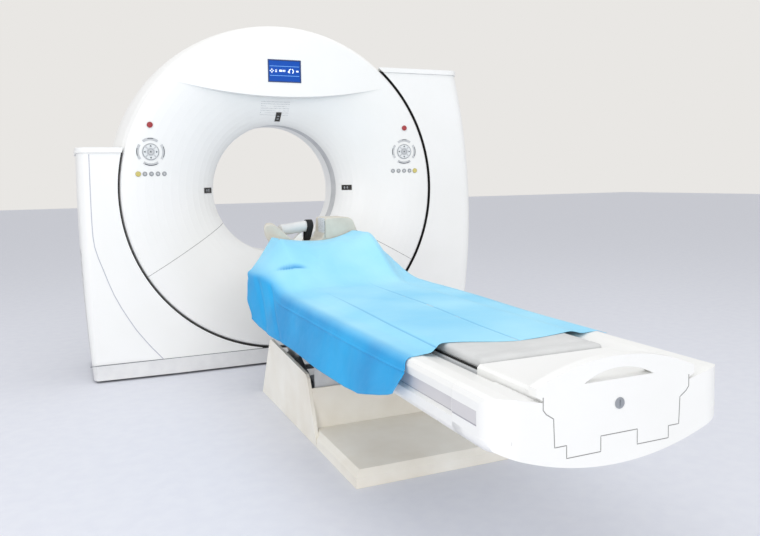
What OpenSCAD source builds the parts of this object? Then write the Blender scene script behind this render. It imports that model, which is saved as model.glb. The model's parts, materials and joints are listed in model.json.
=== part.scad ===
// Whole-body CT scanner: a tilting ring on a floor stand, with a lifting couch in front of it.
// Origin: on the floor, straight under the isocentre. +Y runs into the bore, +Z is up.

/* [Ring] */
// Radius of the ring at the edge of its front face
ring_r = 932; // [928:1:935]
// Height of the ring's edge above the floor; the isocentre is one ring radius higher
ring_clear = 98; // [90:1:105]
// Radius of the bore
bore_r = 390; // [380:1:400]
// Distance from the scan plane to the front face, and to the rear face
ring_half = 293; // [288:1:296]
// Width of the flat edge round the front dish
flat_edge = 52; // [47:1:72]
// Roundness of the dish: 2 is an ellipse, less is flatter
dish_n = 1.7; // [1.5:0.05:2]
// Half width of the scan window band
window_half = 45; // [35:1:60]
// Length of the straight throat behind the scan plane
throat_rear = 150; // [120:1:160]
// Edge rounding of the ring's faces
edge_r = 18; // [10:1:24]
// Wall of the moulded covers
wall = 6; // [4:0.5:7]
// Joint between neighbouring covers
seam = 0.8; // [0.4:0.1:0.9]
// Angle below the horizontal of the seams in the front and rear covers
seam_deg = 30; // [25:1:35]
// Depth of the covers' return onto the rim
return_d = 45; // [35:1:60]

/* [Brow over the bore] */
// Distance of the brow's lower edge, in the middle, from the ring's edge
brow_in = 395; // [372:1:432]
// Half length of the brow's lower edge
brow_half = 575; // [540:1:600]
// Rise of the lower edge from the middle to its tips
brow_rise = 58; // [40:1:70]
// Width of the display
screen_w = 186; // [150:1:200]
// Height of the display
screen_h = 118; // [90:1:130]
// Distance of the display's middle from the ring's edge
screen_in = 248; // [232:1:272]

/* [Controls] */
// Distance of the control groups from the ring's edge
ctrl_in = 168; // [152:1:192]
// Height of the stop buttons over the isocentre
stop_z = 365; // [340:1:380]
// Height of the pads over the isocentre
pad_z = 219; // [200:1:240]
// Height of the key rows over the isocentre
row_z = 99; // [80:1:110]
// Spacing of the keys in a row
key_pitch = 35; // [30:1:38]
// Radius of a small key
key_r = 10; // [8:0.5:12]
// Radius of the outermost, yellow key
lamp_key_r = 14; // [12:0.5:15]
// Radius of a stop button
stop_r = 15; // [12:0.5:18]
// Radius of a pad
pad_r = 46; // [40:1:50]
// Play between a key and its hole
key_play = 0.5; // [0.3:0.1:0.8]

/* [Stand] */
// Gap between the ring and the stand's spherical hollow
tilt_gap = 10; // [8:1:12]
// Reach of the low shoulder beyond the ring's edge
left_reach = 208; // [198:1:218]
// Height of the low shoulder's cap over the isocentre
left_rise = 242; // [210:1:260]
// Reach of the tall shoulder beyond the ring's edge
right_reach = 318; // [308:1:338]
// Height of the tall shoulder's cap over the isocentre
right_rise = 732; // [710:1:745]
// Bow radius of the low shoulder's side
left_bow = 13000; // [10000:100:16000]
// Bow radius of the tall shoulder's side
right_bow = 3820; // [3600:10:4200]
// Fall of the low shoulder's front outside its crease, per millimetre
crease_slope = 0.05; // [0.02:0.01:0.06]
// Rounding of the stand's upright corners
corner_r = 60; // [50:1:70]
// Height of the plinth's upper edge
plinth_h = 99; // [95:1:105]
// Height of the plinth's lower edge above the floor
plinth_low = 12; // [8:1:16]
// Thickness of the shoulder caps
cap_t = 28; // [22:1:32]
// Overhang of the shoulder caps
cap_over = 8; // [5:1:10]
// Number of slots in the side vent
slots = 10; // [8:1:12]
// Pitch of the slots in the side vent
slot_pitch = 60; // [56:1:62]

/* [Tilt and rotor] */
// Radius of the trunnion shafts
shaft_r = 45; // [40:1:50]
// Radial running clearance of shafts and pins
run_play = 0.05; // [0.03:0.01:0.08]
// Distance of the tilting frame from the ring's edge
frame_gap = 27; // [22:1:37]
// Thickness of the tilting frame's rim
frame_t = 43; // [35:1:50]
// Half width of the tilting frame
frame_half = 170; // [160:1:175]
// Running gap between the tilting frame and the rotor drum
drum_gap = 17; // [12:1:30]
// Radius of the rotor's bearing
race_r = 470; // [460:1:480]
// Height of the stand's floor rails
rail_h = 42; // [38:1:43]
// Distance of the floor rails from the scan plane
rail_y = 190; // [180:1:200]
// Distance of the anchor bolts beyond the ring's edge
anchor_out = 28; // [10:1:48]
// Radius of an anchor bolt hole
anchor_r = 9; // [7:0.5:11]

/* [Couch] */
// Head end of the couch covers, measured from the scan plane
head_y = 770; // [765:1:780]
// Foot end of the couch
foot_y = 3090; // [3060:1:3110]
// Half width of the couch covers
cover_w = 355; // [345:1:365]
// Height of the covers' shoulder
shoulder_h = 585; // [580:1:590]
// Height of the covers' lower edge
skirt_h = 450; // [445:1:455]
// Lowest height of the hull under the foot end
hull_h = 386; // [380:1:392]
// Radius of the hull's bottom, seen from the foot end
hull_r = 808; // [780:1:840]
// Half width of the tabletop
top_w = 215; // [210:1:218]
// Height of the tabletop's flat underside
top_low = 520; // [516:1:524]
// Height of the tabletop's edges
top_edge = 566; // [560:1:568]
// Height of the mattress
pad_top = 600; // [596:1:602]
// Length of the foot moulding
foot_len = 290; // [280:1:300]

/* [Couch base] */
// Head end of the base
base_head = 820; // [815:1:830]
// Foot end of the cheeks at the floor
base_foot = 1700; // [1690:1:1720]
// Length of the floor plate beyond the cheeks
plate_len = 432; // [400:1:450]
// Half width of the base
base_w = 314; // [305:1:318]
// Height of the cheeks at the head side
cheek_h = 310; // [300:1:315]
// Height of the cheeks at the foot side
cheek_foot_h = 273; // [265:1:280]
// Height of the box between the cheeks
box_h = 220; // [200:1:230]
// Height of the floor plate
plate_h = 60; // [50:1:66]
// Angle of the lift arms at the couch height drawn
arm_deg = 23.6; // [23:0.1:24]
// Distance of the fixed pivots from the scan plane
pivot_y = 885; // [882:1:888]
// Height of the lower pivots
pivot_z = 120; // [115:1:125]
// Radius of the lift's pivot pins
pin_r = 15; // [12:0.5:18]
// Width of a lift arm's bar
bar_h = 56; // [50:1:60]
// Half spacing of the base anchor bolts across the couch
base_anchor_x = 150; // [145:1:155]
// Half spacing of the base anchor bolts along the couch
base_anchor_y = 310; // [290:1:330]

/* [Sheet] */
// Right edge of the sheet
sheet_right = 385; // [375:1:395]
// Left crease, where the sheet turns down
sheet_crease = 362; // [360:1:370]
// Place of the hanging edge
sheet_left = 408; // [396:1:415]
// Height of the hanging edge
sheet_hem = 388; // [380:1:410]
// Foot end of the sheet, in the middle of the couch
sheet_foot = 2555; // [2500:1:2600]
// Thickness of the sheet's solid
sheet_t = 2; // [1:0.5:3]

/* [Hidden] */

$fn = 96;
LEFT = -1;
RIGHT = 1;
cover_white = "#f2f2ef";
trim_grey = "#b9bbbd";
steel_grey = "#8c9095";
machine_grey = "#6c7076";
black = "#1c1d1f";
touch = 0.3;
big = 6000;

iso_h = ring_r + ring_clear;
dish_r = ring_r - flat_edge;
brow_mid = ring_r - brow_in;
screen_z = ring_r - screen_in;
ctrl_x = ring_r - ctrl_in;
frame_r = ring_r - frame_gap;
frame_in = frame_r - frame_t;
drum_r = frame_in - drum_gap;
anchor_x = ring_r + anchor_out;
left_out = ring_r + left_reach;
right_out = ring_r + right_reach;
left_top = iso_h + left_rise;
right_top = iso_h + right_rise;
left_bow_z = iso_h - 30;
right_bow_z = iso_h - 180;
crease_x = 363;
crease_z = iso_h + 51;
crease_r = ring_r + 543;
ball_r = norm([ring_r, ring_half]);
hollow_r = ball_r + tilt_gap;
dish_a = dish_r - bore_r;
seam_half_deg = seam / ring_r * 90 / PI;
hub_r = shaft_r + 30;
hub_hole_r = shaft_r + 17;
hub_end = sqrt(pow(ball_r - wall, 2) - pow(hub_r, 2)) - touch;
bearing_in = hollow_r + 14;
bearing_out = bearing_in + 70;
bearing_half = 95;
left_col = left_out - 55;
right_col = right_out - 65;
left_foot = left_out - 95;
right_foot = right_out - 112;
col_in = 780;
col_half = 110;
disc_y = 80;
disc_t = 22;
race_y = 120;
race_t = 30;
stop_at = [ctrl_x, stop_z];
pad_at = [ctrl_x, pad_z];
laser_at = bore_r + 44;
bezel = 6;

cover_low = plinth_h + seam;
toe_x = 178;
left_cover_top = left_top - cap_t - seam;
right_cover_top = right_top - cap_t - seam;
vent_low = 118;
vent_high = vent_low + slots * slot_pitch;
vent_half = 228;
cap_from = 400;

top_t = 30;
foot_wall = 30;
tab_out = 156;
tab_in = 56;
tab_z = 424;
notch_z = 462;
step_z = 455;
foot_side = 190;
deck_side = 222;
handle_half = 240;
handle_z = 600;
handle_peak = 652;
handle_r = (pow(handle_half, 2) + pow(handle_peak - handle_z, 2)) / (2 * (handle_peak - handle_z));
lock_z = 535;
lock_r = 14;

plate_foot = base_foot + plate_len;
arm_len = base_foot - base_head - 180;
top_pivot_z = pivot_z + arm_len * sin(arm_deg);
far_y = pivot_y + arm_len * cos(arm_deg);
mid_y = pivot_y + arm_len / 2 * cos(arm_deg);
outer_x = 262;
inner_x = 236;
bar_t = 20;
roller_r = 26;
channel_from = base_foot - 550;
channel_to = base_foot - 110;
apron_y = base_foot - 107;
base_mid = (base_head + base_foot) / 2;
mid_z = (pivot_z + top_pivot_z) / 2;
ear_in = outer_x + bar_t + 2;
ear_t = 11;
foot_shell = 5;
beam_in = 212;
beam_out = 268;
beam_low = hull_h + hull_r - sqrt(pow(hull_r - foot_shell, 2) - pow(beam_out, 2)) + touch;
beam_high = 500;
rail_foot = 2550;
brackets = [900, base_foot, 2500];

slot_low = 595;
slot_peak = 623;
slot_r = 215;
holder_foot = 764;
holder_head = 600;
hollow_z = 757;
roll_r = 27;
roll_len = 176;
roll_lean = 3;
roll_at = [-84, -690, 822];
loop_r = 58;
loop_t = 4;
loop_w = 30;
loop_x = -8;
floor_right = loop_x + loop_w + 1;
sheet_skew = 0.25;
sheet_x = [sheet_right, 318, 255, 190, 125, 60, 0, -60, -125, -190, -252, -310, -sheet_crease];

brow_r = (brow_half * brow_half + brow_rise * brow_rise) / (2 * brow_rise);
brow_sunk = 0.2;

function rim_at(y) = sqrt(ball_r * ball_r - y * y);

// A point of the dish: t is 90 at the bore and 0 at the flat edge, off is the depth below the surface.
function dish_point(t, off, low, high) =
    [dish_r - (dish_a - off) * pow(sin(t), 2 / dish_n),
     -(low + (high - low - off) * pow(cos(t), 2 / dish_n))];

// Depth of the dish's surface at radius r, and its slope there.
function dish_y(r) =
    r >= dish_r ? -ring_half
    : -(window_half + (ring_half - window_half) * pow(1 - pow((dish_r - r) / dish_a, dish_n), 1 / dish_n));
function dish_lean(r) = atan2(dish_y(r - 1) - dish_y(r + 1), 2);

module about_bore() {
    translate([0, 0, iso_h]) rotate([-90, 0, 0]) children();
}

// A drawing in x and z, pushed through from y0 to y1.
module through_y(y0, y1) {
    translate([0, y1, 0]) rotate([90, 0, 0]) linear_extrude(y1 - y0) children();
}

// A drawing in y and z, pushed through from x0 to x1.
module through_x(x0, x1) {
    translate([x0, 0, 0]) rotate([90, 0, 90]) linear_extrude(x1 - x0) children();
}

module ball(r) {
    translate([0, 0, iso_h]) rotate([-90, 0, 0]) sphere(r, $fn = 360);
}

module tube(outer, inner, h) {
    difference() {
        cylinder(h = h, r = outer);
        translate([0, 0, -1]) cylinder(h = h + 2, r = inner);
    }
}

// Wall of a face cover in section: throat, dish, flat edge, rounded corner and return on the rim.
module face_profile(low) {
    inset = ring_half - edge_r;
    steps = 15;
    throat = window_half + seam / 2;
    polygon(concat(
        low > throat ? [[bore_r, -throat]] : [],
        [for (k = [0:steps]) dish_point(90 - 90 * k / steps, 0, low, ring_half)],
        [for (a = [0:22.5:90]) [ring_r - edge_r + edge_r * sin(a), -(inset + edge_r * cos(a))]],
        [[rim_at(ring_half - return_d), -(ring_half - return_d)],
         [rim_at(ring_half - return_d) - wall, -(ring_half - return_d)],
         [ring_r - wall, -(ring_half - wall)]],
        [for (k = [steps:-1:0]) dish_point(90 - 90 * k / steps, wall, low, ring_half)],
        low > throat ? [[bore_r + wall, -throat]] : []));
}

// Everything deeper than half the wall behind the surface of the front dish.
module behind_dish() {
    steps = 15;
    sunk = wall / 2;
    about_bore() rotate_extrude($fn = 180) polygon(concat(
        [for (k = [0:steps]) dish_point(90 - 90 * k / steps, sunk, window_half, ring_half)],
        [[ring_r, sunk - ring_half], [ring_r, 50], [bore_r + sunk, 50]]));
}

// The brow's front, less a margin: above its lower arc and inside the flat edge of the face.
module brow_front(margin) {
    intersection() {
        translate([0, iso_h]) circle(dish_r + 10 - margin, $fn = 180);
        translate([0, iso_h + brow_mid + brow_r]) circle(brow_r - margin, $fn = 720);
    }
}

// Puts a thing on the front dish at x and z over the isocentre, its own z pointing out of the surface.
module on_dish(x, z) {
    r = norm([x, z]);
    around = atan2(z, x);
    translate([x, dish_y(r), iso_h + z])
        rotate([0, -around, 0]) rotate([0, 0, -dish_lean(r)]) rotate([90, 0, 0]) rotate([0, 0, -around])
        children();
}

module face_cover(low, from_deg, sweep) {
    about_bore() rotate([0, 0, from_deg]) rotate_extrude(angle = sweep, $fn = 180) face_profile(low);
}

module key(r, proud) {
    back = wall + touch + 1.5;
    rotate_extrude($fn = 40) polygon([
        [0, -back - 2], [r + 3, -back - 2], [r + 3, -back], [r, -back],
        [r, proud - 1], [r - 1.2, proud], [0, proud]]);
}

module key_hole(r) {
    translate([0, 0, -wall * 3]) cylinder(h = wall * 6, r = r + key_play);
}

// A slice of a ring around a pad, pointing at angle at, grown by a margin.
module arc_key_shape(at, margin) {
    half_deg = 34;
    rotate(at) intersection() {
        difference() {
            circle(76 + margin);
            circle(63 - margin);
        }
        translate([-margin / sin(half_deg), 0])
            polygon([[0, 0], [90, -90 * tan(half_deg)], [90, 90 * tan(half_deg)]]);
    }
}

module arc_key_at(side, at) {
    mid = 69;
    on_dish(side * pad_at[0] + mid * cos(at), pad_at[1] + mid * sin(at))
        translate([-mid * cos(at), -mid * sin(at), 0]) children();
}

module key_spots(side) {
    for (k = [1:5]) on_dish(key_x(side, k), row_z) key_hole(k == lamp_index(side) ? lamp_key_r : key_r);
}

function key_x(side, k) = side * ctrl_x + (k - 3) * key_pitch;
function lamp_index(side) = side == LEFT ? 1 : 5;

module front_upper_cover() color(cover_white) {
    sweep = 180 + 2 * seam_deg - 2 * seam_half_deg;
    difference() {
        union() {
            face_cover(window_half + seam / 2, 180 - seam_deg + seam_half_deg, sweep);
            difference() {
                through_y(-ring_half + brow_sunk, -window_half) brow_front(0);
                behind_dish();
            }
        }
        through_y(-ring_half + wall + brow_sunk, 0) brow_front(wall);
        for (side = [LEFT, RIGHT]) {
            on_dish(side * stop_at[0], stop_at[1]) key_hole(stop_r);
            on_dish(side * pad_at[0], pad_at[1]) key_hole(pad_r);
            key_spots(side);
            for (at = [0:90:270])
                arc_key_at(side, at)
                    translate([0, 0, -wall * 3]) linear_extrude(wall * 6) arc_key_shape(at, key_play);
        }
        around = 2 * (bezel + touch);
        screen_block(screen_w + around, screen_h + around, -ring_half - 5, -ring_half + 40);
        laser_places() laser_block(touch, 10);
    }
}

module front_lower_cover() color(cover_white)
    face_cover(window_half + seam / 2, seam_deg + seam_half_deg, 180 - 2 * seam_deg - 2 * seam_half_deg);

module rear_cover() color(cover_white)
    mirror([0, 1, 0]) face_cover(throat_rear, 0, 360);

module rim_cover() color(cover_white) {
    edge = ring_half - return_d - seam;
    difference() {
        about_bore() rotate_extrude($fn = 180) intersection() {
            difference() {
                circle(ball_r);
                circle(ball_r - wall);
            }
            translate([ball_r / 2, -edge]) square([ball_r, 2 * edge]);
        }
        for (side = [LEFT, RIGHT])
            translate([side * ball_r, 0, iso_h]) rotate([0, 90, 0])
                cylinder(h = 200, r = hub_hole_r, center = true);
    }
}

module scan_window() color(trim_grey)
    about_bore() translate([0, 0, -window_half + seam / 2]) tube(bore_r + 4, bore_r, 2 * window_half - seam);

module screen_block(w, h, y0, y1) {
    through_y(y0, y1) translate([-w / 2, iso_h + screen_z - h / 2]) square([w, h]);
}

module display_frame() color(machine_grey) {
    difference() {
        screen_block(screen_w + 2 * bezel, screen_h + 2 * bezel, -ring_half - 2, -ring_half + 14);
        screen_block(screen_w, screen_h, -ring_half - 6, -ring_half + 20);
    }
}

module display_screen() color("#1d55a8")
    screen_block(screen_w - 2 * touch, screen_h - 2 * touch, -ring_half, -ring_half + 12);

module laser_places()
    for (p = [[-laser_at, 0], [0, laser_at], [laser_at, 0]])
        on_dish(p[0], p[1]) rotate(atan2(p[1], p[0])) children();

// A laser window's glass, long in the direction of the dish's slope.
module laser_block(margin, up) {
    w = 32 + 2 * margin;
    l = 70 + 2 * margin;
    translate([-l / 2, -w / 2, -12]) cube([l, w, 12 + up]);
}

module laser_windows() color(black) laser_places() laser_block(0, 1.5);

module arc_keys() color(trim_grey)
    for (side = [LEFT, RIGHT]) for (at = [0:90:270])
        arc_key_at(side, at) translate([0, 0, -wall]) linear_extrude(wall + 1.5) arc_key_shape(at, 0);

module stop_button(side) color("#c62f2b") on_dish(side * stop_at[0], stop_at[1]) key(stop_r, 7);

module pad(side) color(trim_grey) on_dish(side * pad_at[0], pad_at[1]) {
    key(pad_r, 3);
    translate([0, 0, 2]) tube(15, 12, 2);
}

module row_key(side, k) {
    lamp = k == lamp_index(side);
    color(lamp ? "#e6c84a" : trim_grey) on_dish(key_x(side, k), row_z) key(lamp ? lamp_key_r : key_r, 3);
}

module left_stop_button() stop_button(LEFT);
module right_stop_button() stop_button(RIGHT);
module left_pad() pad(LEFT);
module right_pad() pad(RIGHT);

module tilt_frame() color(machine_grey) {
    about_bore() rotate_extrude($fn = 180) polygon([
        [frame_in, -frame_half], [frame_r, -frame_half], [frame_r, frame_half], [race_r, frame_half],
        [race_r, race_y], [race_r + 50, race_y],
        [race_r + 50, race_y + race_t], [frame_in, race_y + race_t]]);
    for (side = [0, 180]) translate([0, 0, iso_h]) rotate([0, 0, side]) rotate([0, 90, 0]) {
        translate([0, 0, frame_r - 12]) cylinder(h = hub_end - frame_r + 12, r = hub_r);
        cylinder_from(hub_end - 1, bearing_out, shaft_r);
    }
}

module cylinder_from(z0, z1, r) {
    translate([0, 0, z0]) cylinder(h = z1 - z0, r = r);
}

module rotor_drum() color(steel_grey) {
    hub_in = 440;
    race_fit = race_r - run_play;
    about_bore() rotate_extrude($fn = 180) polygon([
        [hub_in, -110], [race_fit, -110], [race_fit, disc_y], [drum_r - 14, disc_y],
        [drum_r - 14, -150], [drum_r, -150], [drum_r, disc_y + disc_t], [race_fit, disc_y + disc_t],
        [race_fit, race_y + race_t], [hub_in, race_y + race_t]]);
}

module xray_tube() color("#9aa0a6") {
    translate([0, -150, iso_h + drum_r - 185]) rotate([-90, 0, 0]) cylinder(h = 150 + disc_y, r = 105);
    translate([-90, -60, iso_h + drum_r - 360]) cube([180, 60 + disc_y, 90]);
}

// A box bent round the bore on the rotor's disc, by its middle angle below the horizontal.
module rotor_box(mid, sweep, r0, r1, front) {
    about_bore() rotate([0, 0, mid - sweep / 2]) rotate_extrude(angle = sweep, $fn = 180)
        translate([r0, -front]) square([r1 - r0, front + disc_y]);
}

module detector_array() color("#50555b") rotor_box(90, 96, drum_r - 145, drum_r - 45, 70);

module generators() color("#7d8389") {
    for (mid = [0, 180]) rotor_box(mid, 56, drum_r - 285, drum_r - 45, 120);
}

// One half of the stand's outer form: flat front and rear, bowed side, rounded upright corners.
// It starts at x = from and its wall is set in by inset.
module shoulder_form(out, bow, bow_z, inset, low, high, reach, from) {
    half = ring_half - inset;
    corner = corner_r - inset;
    intersection() {
        translate([out - bow, 0, bow_z]) rotate([-90, 0, 0]) rotate([0, 0, -reach])
            rotate_extrude(angle = 2 * reach, $fn = 1800) {
                translate([bow - out - 40, -half]) square([out + 40 - corner - inset, 2 * half]);
                translate([bow - 300, -half + corner]) square([300 - inset, 2 * (half - corner)]);
                for (s = [-1, 1])
                    translate([bow - inset - corner, s * (half - corner)]) circle(corner, $fn = 60);
            }
        translate([from, -half - 50, low]) cube([out + 50 - from, 2 * half + 100, high - low]);
    }
}

// What lies in front of a shallow cone, outside the arc of the low shoulder's crease.
module crease_cut(inset) {
    near = 60;
    reach = 900;
    front = inset - ring_half;
    translate([crease_x, 0, crease_z]) rotate([-90, 0, 0]) rotate_extrude($fn = 360) polygon([
        [crease_r - near, front - near * crease_slope], [crease_r + reach, front + reach * crease_slope],
        [crease_r + reach, -2 * ring_half], [crease_r - near, -2 * ring_half]]);
}

module left_form(inset, low, high, from) {
    difference() {
        mirror([1, 0, 0]) shoulder_form(left_out, left_bow, left_bow_z, inset, low, high, 8, from);
        crease_cut(inset);
    }
}

module right_form(inset, low, high, from) {
    shoulder_form(right_out, right_bow, right_bow_z, inset, low, high, 27, from);
}

module trunnion_hole() {
    translate([0, 0, iso_h]) rotate([0, 90, 0]) cylinder(h = 2200, r = hub_hole_r, center = true);
}

module left_stand_cover() color(cover_white) {
    difference() {
        left_form(0, cover_low, left_cover_top, toe_x);
        ball(hollow_r);
        difference() {
            left_form(wall, cover_low - 10, left_cover_top - wall, toe_x - 10);
            ball(hollow_r + wall);
        }
        trunnion_hole();
        translate([-left_out - 50, -vent_half, vent_low]) cube([120, 2 * vent_half, vent_high - vent_low]);
    }
}

module right_stand_cover() color(cover_white) {
    difference() {
        right_form(0, cover_low, right_cover_top, toe_x);
        ball(hollow_r);
        difference() {
            right_form(wall, cover_low - 10, right_cover_top - wall, toe_x - 10);
            ball(hollow_r + wall);
        }
        trunnion_hole();
    }
}

// Where the side of a shoulder stands at height z, from its widest place and its bow.
function side_x(out, bow, bow_z, z) = out - bow + sqrt(pow(bow, 2) - pow(z - bow_z, 2));
function left_side_x(z) = side_x(left_out, left_bow, left_bow_z, z);
function right_side_x(z) = side_x(right_out, right_bow, right_bow_z, z);

// A shoulder's flat cap out to x, cut by the hollow round the ring.
module cap_form(x, top) {
    half = ring_half + cap_over;
    corner = corner_r + cap_over;
    difference() {
        translate([0, 0, top - cap_t]) linear_extrude(cap_t) {
            translate([cap_from, -half]) square([x - corner - cap_from, 2 * half]);
            translate([cap_from, -half + corner]) square([x - cap_from, 2 * (half - corner)]);
            for (s = [-1, 1]) translate([x - corner, s * (half - corner)]) circle(corner);
        }
        ball(hollow_r);
    }
}

module left_cap() color(cover_white)
    mirror([1, 0, 0]) cap_form(left_side_x(left_cover_top) + cap_over, left_top);

module right_cap() color(cover_white)
    cap_form(right_side_x(right_cover_top) + cap_over, right_top);

module plinth() color("#e6e6e2") {
    difference() {
        left_form(0, plinth_low, plinth_h, seam / 2);
        left_form(wall, plinth_low - 5, plinth_h + 5, -10);
        ball(hollow_r);
    }
    difference() {
        right_form(0, plinth_low, plinth_h, seam / 2);
        right_form(wall, plinth_low - 5, plinth_h + 5, -10);
        ball(hollow_r);
    }
}

// Slotted skin of the side vent, its two side plates and the blades between them.
module vent_louvres() color("#d9dcd6") {
    slot_h = 26;
    plate = 8;
    plate_deep = 64;
    blade_y = vent_half - plate;
    blade_back = 34;
    low = vent_low + seam / 2;
    high = vent_high - seam / 2;
    side = vent_half - seam / 2;
    difference() {
        intersection() {
            left_form(0, low, high, cap_from);
            translate([-left_out - 10, -side, 0]) cube([100, 2 * side, 2 * iso_h]);
        }
        intersection() {
            left_form(4, low - 5, high + 5, cap_from);
            translate([-left_out - 10, -blade_y, 0]) cube([100, 2 * blade_y, 2 * iso_h]);
        }
        translate([-left_out + plate_deep, -vent_half - 1, 0]) cube([100, 2 * vent_half + 2, 2 * iso_h]);
        for (k = [0:slots - 1])
            translate([-left_out - 10, -blade_y, slot_mid(k) - slot_h / 2]) cube([60, 2 * blade_y, slot_h]);
    }
    for (k = [0:slots - 1])
        translate([blade_back - left_side_x(slot_mid(k)), 0, slot_mid(k) + 4]) rotate([0, 38, 0])
            translate([-24, -blade_y - 4, -1.5]) cube([46, 2 * blade_y + 8, 3]);
}

function slot_mid(k) = vent_low + (k + 0.5) * slot_pitch;

// Floor rails, foot plates and the two columns under the trunnion bearings.
module stand_frame() color(machine_grey) {
    seat_z = iso_h - bearing_half;
    foot_y = rail_y + 45;
    difference() {
        union() {
            for (s = [-1, 1]) {
                translate([-left_col, s * rail_y - 45, 0]) cube([left_col + right_foot, 90, rail_h]);
                for (x = [-640, 730])
                    translate([x - 30, s > 0 ? rail_y : -ring_half + wall + touch, 14])
                        cube([60, ring_half - wall - touch - rail_y, rail_h - 14]);
            }
            translate([-left_col, -foot_y, 0]) cube([left_col - col_in, 2 * foot_y, rail_h]);
            translate([col_in, -foot_y, 0]) cube([right_foot - col_in, 2 * foot_y, rail_h]);
            through_y(-col_half, col_half) polygon([
                [-left_foot, 1], [-col_in, 1], [-col_in, 500], [-left_col + 120, seat_z],
                [-left_col, seat_z], [-left_col, vent_high + 40], [-left_foot, vent_high]]);
            through_y(-col_half, col_half) polygon([
                [right_foot, 1], [col_in, 1], [col_in, 500], [left_col - 120, seat_z], [right_col, seat_z]]);
        }
        ball(hollow_r + wall + touch);
        for (sx = [-1, 1]) for (sy = [-1, 1])
            translate([sx * anchor_x, sy * rail_y, -1]) cylinder(h = rail_h + 2, r = anchor_r);
    }
}

module tilt_bearings() color(steel_grey)
    for (side = [0, 180]) rotate([0, 0, side]) difference() {
        deep = bearing_out - bearing_in;
        translate([bearing_in, -bearing_half, iso_h - bearing_half])
            cube([deep, 2 * bearing_half, 2 * bearing_half]);
        translate([bearing_in - 10, 0, iso_h]) rotate([0, 90, 0])
            cylinder(h = deep + 20, r = shaft_r + run_play);
    }

module tilt_drive() color(machine_grey) {
    gear_x = bearing_out + touch;
    translate([gear_x, -80, iso_h - bearing_half]) cube([90, 160, 150]);
    translate([gear_x + 45, -80, iso_h - 20]) rotate([90, 0, 0]) cylinder(h = 90, r = 38);
}

module cable_duct() color(trim_grey)
    through_y(-base_head - 15 + touch, -ring_half - touch) polygon([[-60, 0], [60, 0], [48, 38], [-48, 38]]);

module base_side(side) color("#e4e2da") {
    x0 = side > 0 ? base_w - 14 : -base_w;
    through_x(x0, x0 + 14) polygon([
        [-base_head, 0], [-base_head - 168, cheek_h - 14], [-base_head - 192, cheek_h],
        [-base_foot + 132, cheek_foot_h], [-base_foot + 112, cheek_foot_h - 16], [-base_foot, 0]]);
}

module left_cheek() base_side(LEFT);
module right_cheek() base_side(RIGHT);

module base_box() color("#e4e2da") {
    w = base_w - 14 - touch;
    through_x(-w, w) polygon([
        [-base_foot + 60, plate_h + touch], [-base_foot + 66, plate_h + touch], [-base_foot + 96, box_h - 6],
        [-base_foot + 96, box_h], [-base_foot + 88, box_h]]);
}

module floor_plate() color("#dedcd3") {
    slope = 21;
    intersection() {
        through_x(-base_w, base_w) polygon([
            [-base_foot - touch, 0], [-plate_foot, 0],
            [-plate_foot, plate_h - 22], [-plate_foot + slope, plate_h],
            [-base_foot + 62, plate_h], [-base_foot + 62, 14 + touch], [-base_foot - touch, 14 + touch]]);
        through_y(-plate_foot - 5, -base_head) polygon([
            [-base_w, 0], [base_w, 0], [base_w, plate_h - 22], [base_w - slope, plate_h],
            [-base_w + slope, plate_h], [-base_w, plate_h - 22]]);
        union() {
            translate([-base_w - 5, -plate_foot - 5, -5])
                cube([2 * base_w + 10, plate_foot - base_foot + 5 - touch, 100]);
            translate([-base_w + 14 + touch, -plate_foot, -5])
                cube([2 * (base_w - 14 - touch), plate_foot - base_foot + 62, 100]);
        }
    }
}

module lift_drive() color(machine_grey) {
    translate([-90, -1120, 14]) cube([180, 190, 70]);
    translate([90, -1025, 49]) rotate([0, 90, 0]) cylinder(h = 90, r = 32);
}

function bar_at(side, x) = side > 0 ? x : -x - bar_t;

// A shaft along X, through y and z, from x0 to x1.
module shaft(x0, x1, y, z, r) {
    translate([x0, -y, z]) rotate([0, 90, 0]) cylinder(h = x1 - x0, r = r);
}

// A flat bar with round ends between two points in y and z.
module bar_form(x0, x1, y0, z0, y1, z1) {
    lean = atan2(z1 - z0, -(y1 - y0));
    length = norm([y1 - y0, z1 - z0]);
    through_x(x0, x1) translate([-y0, z0]) rotate(lean) {
        translate([0, -bar_h / 2]) square([length, bar_h]);
        circle(bar_h / 2);
        translate([length, 0]) circle(bar_h / 2);
    }
}

module outer_lift_arms() color(steel_grey) {
    for (side = [LEFT, RIGHT]) {
        x0 = bar_at(side, outer_x);
        bar_form(x0, x0 + bar_t, pivot_y, pivot_z, far_y, top_pivot_z);
        pin_x = side > 0 ? inner_x - 1 : -outer_x - 1;
        shaft(pin_x, pin_x + outer_x - inner_x + 2, mid_y, mid_z, pin_r);
        roll_x = side > 0 ? inner_x - 2 : -outer_x;
        shaft(roll_x, roll_x + outer_x - inner_x + 2, far_y, top_pivot_z, roller_r);
    }
    shaft(-ear_in - ear_t, ear_in + ear_t, pivot_y, pivot_z, pin_r);
}

module inner_lift_arms() color("#a3a7ab") {
    for (side = [LEFT, RIGHT]) {
        x0 = bar_at(side, inner_x);
        difference() {
            bar_form(x0, x0 + bar_t, far_y, pivot_z, pivot_y, top_pivot_z);
            shaft(x0 - 1, x0 + bar_t + 1, mid_y, mid_z, pin_r + run_play);
        }
        roll_x = side > 0 ? inner_x - 28 : -inner_x;
        shaft(roll_x, roll_x + 28, far_y, pivot_z, roller_r);
    }
    shaft(-inner_x - bar_t - 16, inner_x + bar_t + 16, pivot_y, top_pivot_z, pin_r);
}

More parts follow.
